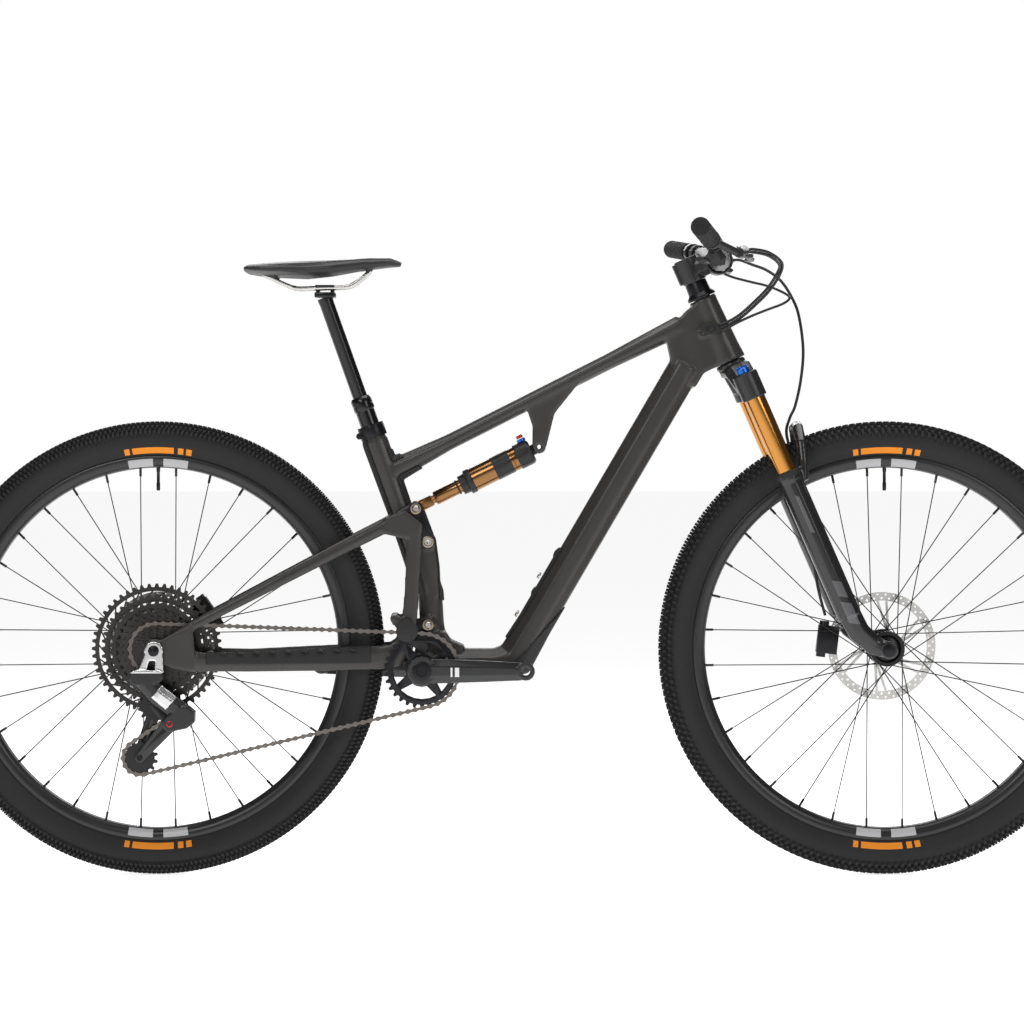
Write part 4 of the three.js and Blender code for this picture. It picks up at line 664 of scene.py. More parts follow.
# ---------------------------------------------------------------- shock
# A bronze-coated air can with a black sleeve of plain panels, a black head with a blue and a red dial, a
# black travel ring, and the shaft with the yoke that carries it to the upper link.
shock_way = (upper_stay_pivot - shock_pivot).normalized()
shock_up = Vector((-shock_way.z, 0, shock_way.x))
if shock_up.z < 0:
    shock_up = -shock_up
bronze = finish("bronze coating", (0.22, 0.105, 0.035), 0.2, metal=1.0, coat=0.3, worn=(0.30, 0.15, 0.055),
                grain=900, relief=0.04)
can = turned("air_can", [
    (0, 0.040), (0.0196, 0.040), (0.0198, 0.0415), (0.0198, 0.0470), (0.0192, 0.0474), (0.0192, 0.0482),
    (0.0198, 0.0486), (0.0198, 0.1215), (0.0196, 0.1225), (0.0, 0.1225),
], shock_pivot, shock_way, 72)
fit(can, bronze, "shock_can", "shock_bronze", "shock_body")
black_sleeve = finish("black sleeve", (0.012, 0.012, 0.012), 0.4, grain=1200, relief=0.1)
head_cap = turned("head_cap", [
    (0, 0.0135), (0.0175, 0.0135), (0.0205, 0.0165), (0.0212, 0.019), (0.0212, 0.0395), (0.0204, 0.0405),
    (0, 0.0405),
], shock_pivot, shock_way, 56)
head_eye = turned("head_eye", [
    (0.0042, -0.012), (0.0100, -0.012), (0.011, -0.011), (0.011, 0.011), (0.0100, 0.012), (0.0042, 0.012),
], shock_pivot, (0, 1, 0), 40)
head_neck = block("head_neck", shock_pivot + 0.0105 * shock_way, (0.0125, 0.019, 0.0175), 0.002,
                  turn=-math.degrees(math.atan2(shock_way.z, shock_way.x)))
end_collar = turned("end_collar", [
    (0, 0.1225), (0.0206, 0.1225), (0.0208, 0.1235), (0.0208, 0.131), (0.0202, 0.132), (0.0168, 0.1335),
    (0.0160, 0.1445), (0, 0.1445),
], shock_pivot, shock_way, 56)
shock_head = joined("shock_head", head_cap, head_eye, head_neck, end_collar)
fit(shock_head, black_sleeve, "shock_can", "shock_bronze")
sleeve = turned("can_sleeve", [
    (0.0197, 0.052), (0.01995, 0.0522), (0.01998, 0.0826), (0.0197, 0.0828),
], shock_pivot, shock_way, 72)
fit(sleeve, black_sleeve, "shock_can", "shock_bronze")
blue = finish("blue dial", (0.006, 0.11, 0.45), 0.3, metal=0.8, coat=0.3, grain=1400, relief=0.06)
red = finish("red dial", (0.40, 0.012, 0.012), 0.32, metal=0.8, coat=0.3, grain=1400, relief=0.06)
dial_at = shock_pivot + 0.022 * shock_way
for name, paint, reach, radius in (("blue_dial", blue, 0.0205, 0.0075), ("red_dial", red, 0.0268, 0.0055)):
    dial = turned(name, [
        (0, 0), (radius * 0.9, 0), (radius, 0.001), (radius, 0.0042), (radius * 0.85, 0.0052), (0, 0.0052),
    ], dial_at + shock_up * reach, shock_up, 18, 25)
    fit(dial, paint, "shock_can", "blue_anodised")
shaft_end = (upper_stay_pivot - shock_pivot).length
shaft_tube = turned("shaft_tube", [
    (0, 0.100), (0.0112, 0.100), (0.0115, 0.1015), (0.0115, shaft_end - 0.037), (0.0105, shaft_end - 0.0355),
    (0.0072, shaft_end - 0.035), (0.0072, shaft_end - 0.028), (0, shaft_end - 0.028),
], shock_pivot, shock_way, 56)
shaft = joined("shock_shaft_yoke", shaft_tube, machined("shock_shaft", "yoke", 0.0008))
fit(shaft, bronze, "shock_rod", "shock_bronze", "shock_shaft")
ring = turned("travel_ring", [(0.0116, 0.1485), (0.0126, 0.149), (0.0126, 0.151), (0.0116, 0.1515)],
              shock_pivot, shock_way, 40)
fit(ring, rubber, "shock_rod", "shock_bronze")

# ---------------------------------------------------------------- headset, crown and stanchions
# The forged crown and steerer in satin black, with the upper headset cover, and two stanchions with a gold
# coating pressed into the crown. A blue damper dial turns on top of the drive side.
satin_black = finish("satin black fork", (0.013, 0.013, 0.014), 0.36, coat=0.2, grain=1500, relief=0.1)
fit(moulded("fork_crown_steerer", "crown", 0.0014, passes=5), satin_black, "fork_upper", "fork_black",
    "fork_crown_steerer")
fit(machined("headset_upper", "headset_cover", 0.0006), anodised, "fork_upper", "blue_anodised",
    "headset_upper")
gold = finish("gold coating", (0.46, 0.195, 0.032), 0.17, metal=1.0, coat=0.4, worn=(0.54, 0.24, 0.05),
              grain=1200, mottle=0.3, relief=0.02)


def from_crown(ahead, side, along):
    """A point given ahead of the steering axis, to the side, and along the axis from the crown race."""
    return crown_race + ahead * STEER_AHEAD + Vector((0, side, 0)) + along * STEER_AXIS


LEG_AHEAD, LEG_SPREAD, LEG_TOP = 0.009, 0.065, -0.1975
for name, side in SIDES:
    leg = turned(f"stanchion_tube_{name}", [
        (0, LEG_TOP - 0.120), (0.0166, LEG_TOP - 0.120), (0.0170, LEG_TOP - 0.119), (0.0170, -0.0275),
        (0, -0.0275),
    ], from_crown(LEG_AHEAD, side * LEG_SPREAD, 0), STEER_AXIS, 64)
    fit(leg, gold, "fork_upper", "stanchion_gold", f"stanchion_{name}")
dial = turned("damper_dial", [
    (0, -0.0216), (0.0105, -0.0216), (0.0110, -0.0210), (0.0110, -0.0135), (0.0102, -0.0128),
    (0.0075, -0.0126), (0.0070, -0.0120), (0, -0.0120),
], from_crown(LEG_AHEAD, -LEG_SPREAD, 0), STEER_AXIS, 40, 25)
dial_lever = block("damper_lever", (0, 0, 0), (0.019, 0.0048, 0.0036), 0.001)
dial_lever.data.transform(Matrix.Translation(from_crown(LEG_AHEAD, -LEG_SPREAD, -0.0112))
                          @ Matrix.Rotation(-math.atan2(-STEER_AXIS.x, STEER_AXIS.z), 4, "Y"))
fit(joined("damper_dial", dial, dial_lever), blue, "damper", "blue_anodised", "damper_knob")

# ---------------------------------------------------------------- fork lowers
# A one-piece magnesium casting of both legs and the arch in gloss black, with rubber wipers at the leg
# tops, the through axle and plain grey bars on the legs.
lowers = moulded("fork_lowers", "lowers", 0.0018, passes=6)
bores = []
for side in (-1, 1):
    bores.append(turned("leg_bore",
                        [(0, LEG_TOP - 0.258), (0.0177, LEG_TOP - 0.258), (0.0177, 0.02), (0, 0.02)],
                        from_crown(LEG_AHEAD, side * LEG_SPREAD, 0), STEER_AXIS, 64))
bore_tool = joined("leg_bores", *bores)
modify(lowers, "BOOLEAN", object=bore_tool, operation="DIFFERENCE", solver="EXACT")
bpy.data.objects.remove(bore_tool)
gloss_black = finish("gloss black fork", (0.009, 0.009, 0.0095), 0.3, coat=0.5, grain=1500, mottle=0.4,
                     relief=0.05)


def leg_bars(math_of, x, y, z):
    """Grey bars down the outer side of each leg."""
    def reach(axis):
        return math_of("ADD", math_of("MULTIPLY", math_of("SUBTRACT", x, crown_race.x), axis.x),
                       math_of("MULTIPLY", math_of("SUBTRACT", z, crown_race.z), axis.z))

    along, ahead = reach(STEER_AXIS), reach(STEER_AHEAD)
    outer = math_of("GREATER_THAN", math_of("ABSOLUTE", y), 0.0795)
    slant = math_of("ADD", along, math_of("MULTIPLY", ahead, 0.6))
    low = every(math_of, within(math_of, slant, -0.462, -0.424), within(math_of, ahead, 0.003, 0.019))
    middle = every(math_of, within(math_of, slant, -0.414, -0.386), within(math_of, ahead, 0.004, 0.018))
    high = every(math_of, within(math_of, slant, -0.30, -0.235), within(math_of, ahead, 0.004, 0.010))
    either = math_of("MAXIMUM", math_of("MAXIMUM", low, middle), high)
    return math_of("MULTIPLY", either, outer)


marked(gloss_black, (0.085, 0.085, 0.09), leg_bars)
fit(lowers, gloss_black, "fork_lower", "fork_black", "fork_lowers")
for name, side in SIDES:
    wiper = turned(f"wiper_{name}", [
        (0.0178, -0.0100), (0.0212, -0.0100), (0.0217, -0.0090), (0.0217, -0.0010), (0.0208, 0.0008),
        (0.0178, 0.0010),
    ], from_crown(LEG_AHEAD, side * LEG_SPREAD, LEG_TOP), STEER_AXIS, 48)
    fit(wiper, rubber, "fork_lower", "fork_black")
fit(machined("front_axle", "front_through_axle", 0.0007), anodised, "fork_lower", "black_alloy", "front_axle")

# ---------------------------------------------------------------- brake calipers
# Calipers machined from black anodised aluminium with broken edges, each standing over its rotor and bolted
# to its mount on the left side.
for node, body in (("front_caliper", "fork_lower"), ("rear_caliper", "swingarm")):
    fit(machined(node, f"{node}_body", 0.0012), anodised, body, "black_alloy", node)

# ---------------------------------------------------------------- tyres
# Black folding tyres with small open knobs in rows over a thin casing, seated on the rims, and plain orange
# bars on each sidewall. The front knobs are set wider apart than the rear ones.
TYRE_HALF = 0.0282


def ring_bars(low, high, spans, axle):
    """A mask for painted bars between two radii, at given angles from the top and the bottom of a wheel."""
    def mask(math_of, x, _, z):
        across = math_of("SUBTRACT", x, axle.x)
        up = math_of("SUBTRACT", z, axle.z)
        squares = math_of("ADD", math_of("MULTIPLY", across, across), math_of("MULTIPLY", up, up))
        radius = math_of("SQRT", squares)
        angle = math_of("ARCTAN2", across, math_of("ABSOLUTE", up))
        band = within(math_of, radius, low, high)
        bars = None
        for start, end in spans:
            bar = within(math_of, angle, math.radians(start), math.radians(end))
            bars = bar if bars is None else math_of("MAXIMUM", bars, bar)
        return math_of("MULTIPLY", band, bars)
    return mask


def wheel_tyre(prefix, axle, pitches, knob_length):
    """A casing with `pitches` rows of knobs round it, spun from one row of eight."""
    at, across = Vector((axle.x, 0, axle.z)), Vector((0, 1, 0))
    outer = [(0.3115, 0.0138), (0.3190, 0.0152), (0.3265, 0.0222), (0.3345, 0.0268), (0.3425, TYRE_HALF),
             (0.3500, 0.0272), (0.3575, 0.0236), (0.3640, 0.0176), (0.3680, 0.0095), (0.3692, 0.0)]
    inner = [(0.3660, 0.0), (0.3600, 0.0160), (0.3425, 0.0262), (0.3210, 0.0128), (0.3115, 0.0108)]
    profile = outer + [(r, -y) for r, y in reversed(outer[:-1])]
    profile += [(r, -y) for r, y in reversed(inner[1:])] + inner
    casing = turned(f"{prefix}_casing", profile, at, across, 180, 60)
    rows = [(0.3695, 0.0052, 4, 0.0), (0.3680, 0.0140, 24, 0.5), (0.3632, 0.0208, 42, 0.0),
            (0.3560, 0.0262, 60, 0.5)]
    knobs = []
    turn = 2 * math.pi / pitches
    for lift, out, tilt, stagger in rows:
        for side in (-1, 1):
            shift = stagger + (0.5 if side > 0 and out < 0.01 else 0)
            knob = primitive("cube", "knob", size=1)
            edit(knob, lambda face: face.normal.z > 0.9)
            bpy.ops.transform.resize(value=(0.74, 0.74, 1))
            object_mode()
            knob.data.transform(
                Matrix.Translation(at) @ Matrix.Rotation(shift * turn, 4, "Y")
                @ Matrix.Translation(Vector((0, side * out, lift)))
                @ Matrix.Rotation(-side * math.radians(tilt), 4, "X")
                @ Matrix.Translation(Vector((0, 0, 0.0014)))
                @ Matrix.Diagonal((knob_length, 0.0064, 0.0062, 1)))
            knobs.append(knob)
    tread = joined(f"{prefix}_tread", *knobs)
    edit(tread)
    bpy.ops.mesh.spin(steps=pitches - 1, angle=-turn * (pitches - 1), center=at, axis=across, dupli=True)
    bpy.ops.mesh.select_all(action="SELECT")
    bpy.ops.mesh.normals_make_consistent(inside=False)
    object_mode()
    whole = joined(f"{prefix}_tyre_tread", casing, tread)
    paint = finish(f"{prefix} tyre", (0.011, 0.011, 0.011), 0.72, worn=(0.034, 0.034, 0.034), grain=900,
                   mottle=0.6, relief=0.45)
    marked(paint, (0.75, 0.24, 0.015), ring_bars(
        0.3215, 0.3315, [(-9.5, -8.0), (-7.2, 4.8), (6.0, 7.6), (8.4, 10.0)], axle))
    return fit(whole, paint, f"{prefix}_wheel", "tyre", f"{prefix}_tyre")


wheel_tyre("front", front_axle, 206, 0.0056)
wheel_tyre("rear", rear_axle, 294, 0.0043)

# ---------------------------------------------------------------- rims
# Moulded carbon rims in satin black with a rounded inner edge, a valve at the top, and a pair of plain
# silver bars on each side at the top and the bottom.
for prefix, axle in (("front", front_axle), ("rear", rear_axle)):
    at = Vector((axle.x, 0, axle.z))
    side = [(0.2970, 0.0), (0.2972, 0.0050), (0.2985, 0.0098), (0.3020, 0.0138), (0.3062, 0.0162),
            (0.3110, 0.0170), (0.3162, 0.0170), (0.3170, 0.0166), (0.3170, 0.0152), (0.3100, 0.0150),
            (0.3092, 0.0140), (0.3088, 0.0)]
    profile = side + [(r, -y) for r, y in reversed(side[1:-1])]
    rim = turned(f"{prefix}_hoop", profile, at, (0, 1, 0), 160, 50)
    paint = finish(f"{prefix} rim", (0.012, 0.012, 0.0125), 0.35, coat=0.25, grain=1300, relief=0.08)
    marked(paint, (0.42, 0.42, 0.43), ring_bars(0.2995, 0.3125, [(-9.0, -1.4), (1.8, 9.4)], axle))
    fit(rim, paint, f"{prefix}_wheel", "satin_carbon", f"{prefix}_rim")
    valve = turned(f"{prefix}_valve", [
        (0, -0.002), (0.0032, -0.002), (0.0032, 0.006), (0.0026, 0.007), (0.0026, 0.024), (0.0031, 0.026),
        (0.0031, 0.036), (0.0024, 0.038), (0, 0.038),
    ], (axle.x, 0, axle.z + 0.2975), (0, 0, -1), 20)
    fit(valve, anodised, f"{prefix}_wheel", "black_alloy")

# ---------------------------------------------------------------- hubs, spokes and rotors
# Black hubs laced with 32 black stainless spokes crossing in pairs, with nipples in black at the rim, and
# stamped stainless rotors with rows of round holes at the left ends.
spoke_steel = finish("black spoke steel", (0.02, 0.02, 0.021), 0.3, metal=0.9, worn=(0.10, 0.10, 0.10),
                     grain=2200, relief=0.04)
rotor_steel = finish("rotor steel", (0.62, 0.61, 0.59), 0.3, metal=1.0, worn=(0.44, 0.43, 0.42), grain=1800,
                     relief=0.06)


def wheel_point(radius, angle, y=0.0):
    """A place at a radius, turned by an angle from the top of a wheel."""
    return Vector((radius * math.sin(angle), y, radius * math.cos(angle)))


def spoke_set(prefix, name, axle, flange_y, outward, first_hole):
    """Sixteen spokes of one flange: a thin round wire with a nipple at the rim and a bent head at the hub."""
    centre = Vector((axle.x, 0, axle.z))
    head_y = flange_y + outward * 0.006
    wires = []
    for number in range(16):
        hole = first_hole + 2 * number
        rim_angle = (hole + 0.5) * math.pi / 16
        lead = 1 if hole % 4 < 2 else -1
        hub_angle = rim_angle + lead * math.radians(67.5)
        start = centre + wheel_point(0.026, hub_angle, head_y + lead * 0.0013)
        end = centre + wheel_point(0.2974, rim_angle, outward * 0.0025 + lead * 0.001)
        way = (end - start).normalized()
        length = (end - start).length
        for begin, finish_at, radius, corners in ((-0.001, length, 0.00095, 6),
                                                  (length - 0.013, length, 0.0021, 8)):
            wire = primitive("cylinder", "wire", vertices=corners, radius=radius, depth=finish_at - begin)
            turn = Vector((0, 0, 1)).rotation_difference(way).to_matrix().to_4x4()
            wire.data.transform(Matrix.Translation(start + way * (begin + finish_at) / 2) @ turn)
            wires.append(wire)
    ring_half = 0.0020
    heads = turned("heads", [
        (0.0228, head_y - ring_half), (0.0288, head_y - ring_half), (0.0292, head_y),
        (0.0288, head_y + ring_half), (0.0228, head_y + ring_half),
    ], centre, (0, 1, 0), 48)
    whole = joined(f"{prefix}_laced_{name}", heads, *wires)
    smooth(whole, 40)
    return fit(whole, spoke_steel, f"{prefix}_wheel", "spoke_steel", f"{prefix}_spokes_{name}")


def hub_shell(prefix, axle, half, bore, right, left, end):
    """A hub from end to end, with its two flanges at right and left."""
    at = Vector((axle.x, 0, axle.z))
    shell = turned(f"{prefix}_hub_shell", [
        (bore, -half), (end - 0.001, -half), (end, -half + 0.001), (end, right - 0.005),
        (end + 0.002, right - 0.004), (0.0275, right - 0.0016), (0.0290, right - 0.001),
        (0.0290, right + 0.001), (0.0275, right + 0.0016), (0.0180, right + 0.004), (0.0142, right + 0.009),
        (0.0130, (right + left) / 2), (0.0142, left - 0.009), (0.0180, left - 0.004),
        (0.0275, left - 0.0016), (0.0290, left - 0.001), (0.0290, left + 0.001), (0.0275, left + 0.0016),
        (0.0160, left + 0.004), (0.0160, half - 0.001), (0.0150, half), (bore, half),
    ], at, (0, 1, 0), 72, 30)
    return fit(shell, anodised, f"{prefix}_wheel", "blue_anodised", f"{prefix}_hub")


def toothed(name, teeth, root, tip, inner, thick, place, flat=0.32):
    """A flat ring with square-topped teeth, standing in the plane of the wheel."""
    turn = 2 * math.pi / teeth
    outline = [(root, -0.5), (root, -flat), (tip, -flat * 0.45), (tip, flat * 0.45), (root, flat)]
    corners = len(outline)
    loops = []
    for edge, hole in (("outside", None), ("inside", inner)):
        loop = primitive("circle", edge, vertices=teeth * corners, fill_type="NOTHING")
        for number, vertex in enumerate(loop.data.vertices):
            radius, share = outline[number % corners]
            vertex.co = wheel_point(hole or radius, (number // corners + share) * turn, -thick / 2)
        loops.append(loop)
    ring = joined(name, *loops)
    edit(ring)
    bpy.ops.mesh.bridge_edge_loops()
    object_mode()
    modify(ring, "SOLIDIFY", thickness=thick, offset=0)
    facing_out(ring)
    ring.data.transform(Matrix.Translation(Vector(place) + Vector((0, thick / 2, 0))))
    return ring


def plate_bar(name, start, end, wide, narrow, thick, y):
    """A flat tapered bar between two points of a wheel's plane."""
    start, end = Vector(start), Vector(end)
    way = (end - start).normalized()
    out = Vector((-way.z, 0, way.x))
    bar = primitive("cube", name, size=1)
    for vertex in bar.data.vertices:
        far, over, side = vertex.co.x > 0, 1 if vertex.co.z > 0 else -1, 1 if vertex.co.y > 0 else -1
        base = end if far else start
        half = (narrow if far else wide) / 2
        vertex.co = base + out * over * half + Vector((0, y - base.y + side * thick / 2, 0))
    return facing_out(bar)


def brake_disc(prefix, axle, y):
    """A rotor: a drilled track, a centre ring, and six pairs of leaning arms between them."""
    at = Vector((axle.x, y, axle.z))
    half = 0.00095
    track = turned(f"{prefix}_track",
                   [(0.0755, -half), (0.0898, -half), (0.0900, 0), (0.0898, half), (0.0755, half)],
                   at, (0, 1, 0), 120, 30)
    centre = turned("centre", [(0.0166, -half), (0.0285, -half), (0.0285, half), (0.0166, half)], at,
                    (0, 1, 0), 60)
    cutters = []
    for ring, count, size, shift in ((0.0795, 40, 0.0021, 0), (0.0858, 40, 0.0018, 0.5)):
        drill = primitive("cylinder", "drill", vertices=8, radius=size, depth=0.01)
        drill.data.transform(Matrix.Translation(at) @ Matrix.Rotation(2 * math.pi * shift / count, 4, "Y")
                             @ Matrix.Translation((0, 0, ring)) @ Matrix.Rotation(math.pi / 2, 4, "X"))
        edit(drill)
        bpy.ops.mesh.spin(steps=count - 1, angle=2 * math.pi * (count - 1) / count, center=at, axis=(0, 1, 0),
                          dupli=True)
        object_mode()
        cutters.append(drill)
    drills = joined("drills", *cutters)
    modify(track, "BOOLEAN", object=drills, operation="DIFFERENCE", solver="EXACT")
    bpy.data.objects.remove(drills)
    arms = []
    for number in range(6):
        start_angle = number * math.pi / 3
        for lean in (0.42, 0.62):
            end_angle = start_angle + lean
            arms.append(plate_bar("arm", at + 0.0265 * Vector((math.cos(start_angle + lean * 0.25), 0,
                                                              math.sin(start_angle + lean * 0.25))),
                                  at + 0.0765 * Vector((math.cos(end_angle), 0, math.sin(end_angle))),
                                  0.0048, 0.0036, 2 * half * 0.96, y))
    disc = joined(f"{prefix}_disc", track, centre, *arms)
    return fit(disc, rotor_steel, f"{prefix}_wheel", "steel", f"{prefix}_rotor")


for prefix, axle, half, bore, right, left, end in (
    ("front", front_axle, 0.055, 0.0078, -0.035, 0.022, 0.014),
    ("rear", rear_axle, 0.074, 0.0063, -0.0185, 0.036, 0.0164),
):
    hub_shell(prefix, axle, half, bore, right, left, end)
    spoke_set(prefix, "right", axle, right, -1, 1)
    spoke_set(prefix, "left", axle, left, 1, 0)
    brake_disc(prefix, axle, half - 0.0155)

# ---------------------------------------------------------------- cassette
# Twelve machined steel cogs in black, the large ones cut out to thin spokes, on the freehub of the rear
# wheel.
COGS = [52, 44, 38, 32, 28, 24, 21, 18, 16, 14, 12, 10]
CHAIN_COG, CHAINLINE, PITCH = 6, 0.050, 0.0127
OPEN_COGS = 6             # the large cogs that are cut out to arms
COG_SPACING, COG_THICKNESS = 0.0035, 0.0014
FREEHUB = 0.0172
cog_steel = finish("black cog steel", (0.020, 0.019, 0.019), 0.3, metal=0.9, worn=(0.14, 0.13, 0.125),
                   grain=1600, mottle=0.9, relief=0.08)


def pitch_radius(teeth):
    """The radius at which the chain lies on a wheel of so many teeth."""
    return teeth * PITCH / (2 * math.pi)


cogs = []
for number, teeth in enumerate(COGS):
    y = -(CHAINLINE + (number - CHAIN_COG) * COG_SPACING)
    place = Vector((rear_axle.x, y, rear_axle.z))
    rim_radius = pitch_radius(teeth) - 0.0036
    under = pitch_radius(COGS[number + 1]) - 0.006 if number < len(COGS) - 1 else FREEHUB
    inner = max(under, rim_radius - 0.0068 if number < OPEN_COGS else FREEHUB)
    cogs.append(toothed("cog", teeth, rim_radius, pitch_radius(teeth) + 0.0021, inner, COG_THICKNESS, place))
    if number < OPEN_COGS:
        count = teeth // 2
        for arm in range(count):
            foot = wheel_point(under, arm * 2 * math.pi / count)
            tip = wheel_point(inner + 0.001, (arm + 0.75) * 2 * math.pi / count)
            cogs.append(plate_bar("cog_arm", place + foot, place + tip, 0.003, 0.0022, COG_THICKNESS, y))
        half = COG_THICKNESS / 2
        cogs.append(turned("cog_foot", [(under - 0.006, y - half), (under + 0.0015, y - half),
                                        (under + 0.0015, y + half), (under - 0.006, y + half)],
                           (rear_axle.x, 0, rear_axle.z), (0, 1, 0), 64))
cogs.append(turned("cog_carrier", [
    (FREEHUB, -0.0680), (0.0190, -0.0680), (0.0195, -0.0640), (0.0290, -0.0470), (0.0400, -0.0400),
    (0.0560, -0.0340), (0.0740, -0.0300), (0.0720, -0.0290), (FREEHUB, -0.0290),
], (rear_axle.x, 0, rear_axle.z), (0, 1, 0), 64))
lock_ring = turned("lock_ring", [
    (FREEHUB, -0.0681), (FREEHUB, -0.0672), (0.0190, -0.0672), (0.0188, -0.0681),
], (rear_axle.x, 0, rear_axle.z), (0, 1, 0), 48)
cassette = joined("cog_stack", *cogs, lock_ring)
smooth(cassette, 30)
fit(cassette, cog_steel, "cassette", "black_alloy", "cassette")

# ---------------------------------------------------------------- cranks and chainring
# Hollow forged arms in gloss black with plain white bars, pinched on the spindle, and a 30-tooth black ring
# bolted straight to the drive-side arm.
crank_black = finish("crank black", (0.010, 0.010, 0.011), 0.3, coat=0.45, grain=1500, mottle=0.4,
                     relief=0.06)


def crank_marks(math_of, x, y, z):
    """Two plain upright bars on the outer face of the drive-side arm."""
    face = math_of("LESS_THAN", y, -0.074)
    height = within(math_of, z, bracket.z - 0.009, bracket.z + 0.006)
    bars = math_of("MAXIMUM", within(math_of, x, bracket.x + 0.047, bracket.x + 0.050),
                   within(math_of, x, bracket.x + 0.054, bracket.x + 0.061))
    return every(math_of, face, height, bars)


marked(crank_black, (0.7, 0.7, 0.7), crank_marks)
for side in ("right", "left"):
    arm = moulded(f"crank_{side}", f"crank_arm_{side}", 0.0011, passes=4)
    fit(arm, crank_black, "cranks", "black_alloy", f"crank_{side}")
cap = turned("crank_cap", [
    (0, -0.0005), (0.0150, -0.0005), (0.0158, 0.0002), (0.0158, 0.0012), (0.0145, 0.0018), (0.0085, 0.0018),
    (0.0080, 0.0006), (0, 0.0006),
], (bracket.x, -0.0775, bracket.z), (0, -1, 0), 48)
fit(cap, anodised, "cranks", "black_alloy")
RING_TEETH = 30
RING_PITCH = pitch_radius(RING_TEETH)
ring_teeth = toothed("ring_teeth", RING_TEETH, RING_PITCH - 0.0038, RING_PITCH + 0.0019,
                     RING_PITCH - 0.0125, 0.0022, (bracket.x, -CHAINLINE, bracket.z))
ring_body = machined("chainring", "ring_body", 0.0003)
fit(joined("chain_ring", ring_teeth, ring_body), anodised, "cranks", "black_alloy", "chainring")

# ---------------------------------------------------------------- chain
# A twelve-speed chain of steel: pairs of waisted outer and inner plates in turn, riveted through rollers.
# It runs over the ring, a cog and the two pulleys, in three stretches that each ride with the wheels they
# run on.
guide_at = Vector(joint["guide_pulley_spin"]["pos_m"])
tension_at = Vector(joint["tension_pulley_spin"]["pos_m"])
PULLEY_TEETH = 14
pulley_pitch = pitch_radius(PULLEY_TEETH)
stops = [(bracket, RING_PITCH, 1), (rear_axle, pitch_radius(COGS[CHAIN_COG]), 1),
         (guide_at, pulley_pitch, -1), (tension_at, pulley_pitch, 1)]


def chain_run(start, goal):
    """The straight run that touches two wheels, as its ends and its heading."""
    apart = Vector((goal[0].x - start[0].x, goal[0].z - start[0].z))
    lean = math.asin((goal[1] * goal[2] - start[1] * start[2]) / apart.length)
    heading = math.atan2(apart.y, apart.x) - lean

    def edge(stop):
        return Vector((stop[0].x + stop[1] * stop[2] * math.sin(heading),
                       stop[0].z - stop[1] * stop[2] * math.cos(heading)))

    return edge(start), edge(goal), heading


runs = [chain_run(stop, stops[(number + 1) % 4]) for number, stop in enumerate(stops)]


def chain_wrap(number, steps=60):
    """The chain's arc round one of the stops."""
    at, radius, sense = stops[number]
    start, end = runs[(number + 3) % 4][2], runs[number][2]
    sweep = sense * ((sense * (end - start)) % (2 * math.pi))
    return [Vector((at.x + radius * sense * math.sin(start + sweep * i / steps),
                    at.z - radius * sense * math.cos(start + sweep * i / steps))) for i in range(steps + 1)]


def ahead_of(point, heading, distance):
    """A point moved along a heading."""
    return point + distance * Vector((math.cos(heading), math.sin(heading)))


def link_plates(name, gap, thick, high, roller_radius, roller_width):
    """Two waisted plates and a roller of one link, lying along X from the origin."""
    left = [math.radians(50 + 32.5 * step) for step in range(9)]
    outline = [(high * math.cos(angle), high * math.sin(angle)) for angle in left]
    outline.append((PITCH / 2, -high * 0.5))
    outline += [(PITCH - x, -z) for x, z in outline[:9]]
    outline.append((PITCH / 2, high * 0.5))
    plate = primitive("circle", name, vertices=len(outline), fill_type="NGON")
    for vertex, (x, z) in zip(plate.data.vertices, outline):
        vertex.co = Vector((x, 0, z))
    modify(plate, "SOLIDIFY", thickness=thick, offset=0)
    plate.data.transform(Matrix.Translation((0, gap, 0)))
    only(plate)
    bpy.ops.object.duplicate()
    other = bpy.context.object
    other.data.transform(Matrix.Translation((0, -2 * gap, 0)))
    roller = primitive("cylinder", "roller", vertices=8, radius=roller_radius, depth=roller_width,
                       rotation=(math.pi / 2, 0, 0))
    bpy.ops.object.transform_apply(location=True, rotation=True, scale=True)
    return facing_out(joined(name, plate, other, roller))


outer_link = link_plates("outer_link", 0.0021, 0.0008, 0.0040, 0.0019, 0.0049)
inner_link = link_plates("inner_link", 0.0013, 0.0008, 0.0036, 0.0036, 0.0026)
chain_steel = finish("chain steel", (0.13, 0.115, 0.105), 0.32, metal=0.9, worn=(0.26, 0.24, 0.225),
                     grain=1500, mottle=0.9, relief=0.06)


def chain_stretch(name, path):
    """Links in turn along a path, each fitted to an equal share of its length."""
    lengths = [0.0]
    for before, after in zip(path, path[1:]):
        lengths.append(lengths[-1] + (after - before).length)
    count = round(lengths[-1] / PITCH)
    step = lengths[-1] / count

    def on_path(distance):
        for number in range(len(path) - 1):
            if lengths[number + 1] >= distance - 1e-9:
                share = (distance - lengths[number]) / max(1e-9, lengths[number + 1] - lengths[number])
                return path[number].lerp(path[number + 1], share)
        return path[-1]

    links = []
    for number in range(count):
        start, end = on_path(number * step), on_path((number + 1) * step)
        way = end - start
        source = outer_link if number % 2 else inner_link
        link = source.copy()
        link.data = source.data.copy()
        bpy.context.collection.objects.link(link)
        link.data.transform(Matrix.Translation((start.x, -CHAINLINE, start.y))
                            @ Matrix.Rotation(-math.atan2(way.y, way.x), 4, "Y")
                            @ Matrix.Diagonal((way.length / PITCH, 1, 1, 1)))
        links.append(link)
    return joined(name, *links)


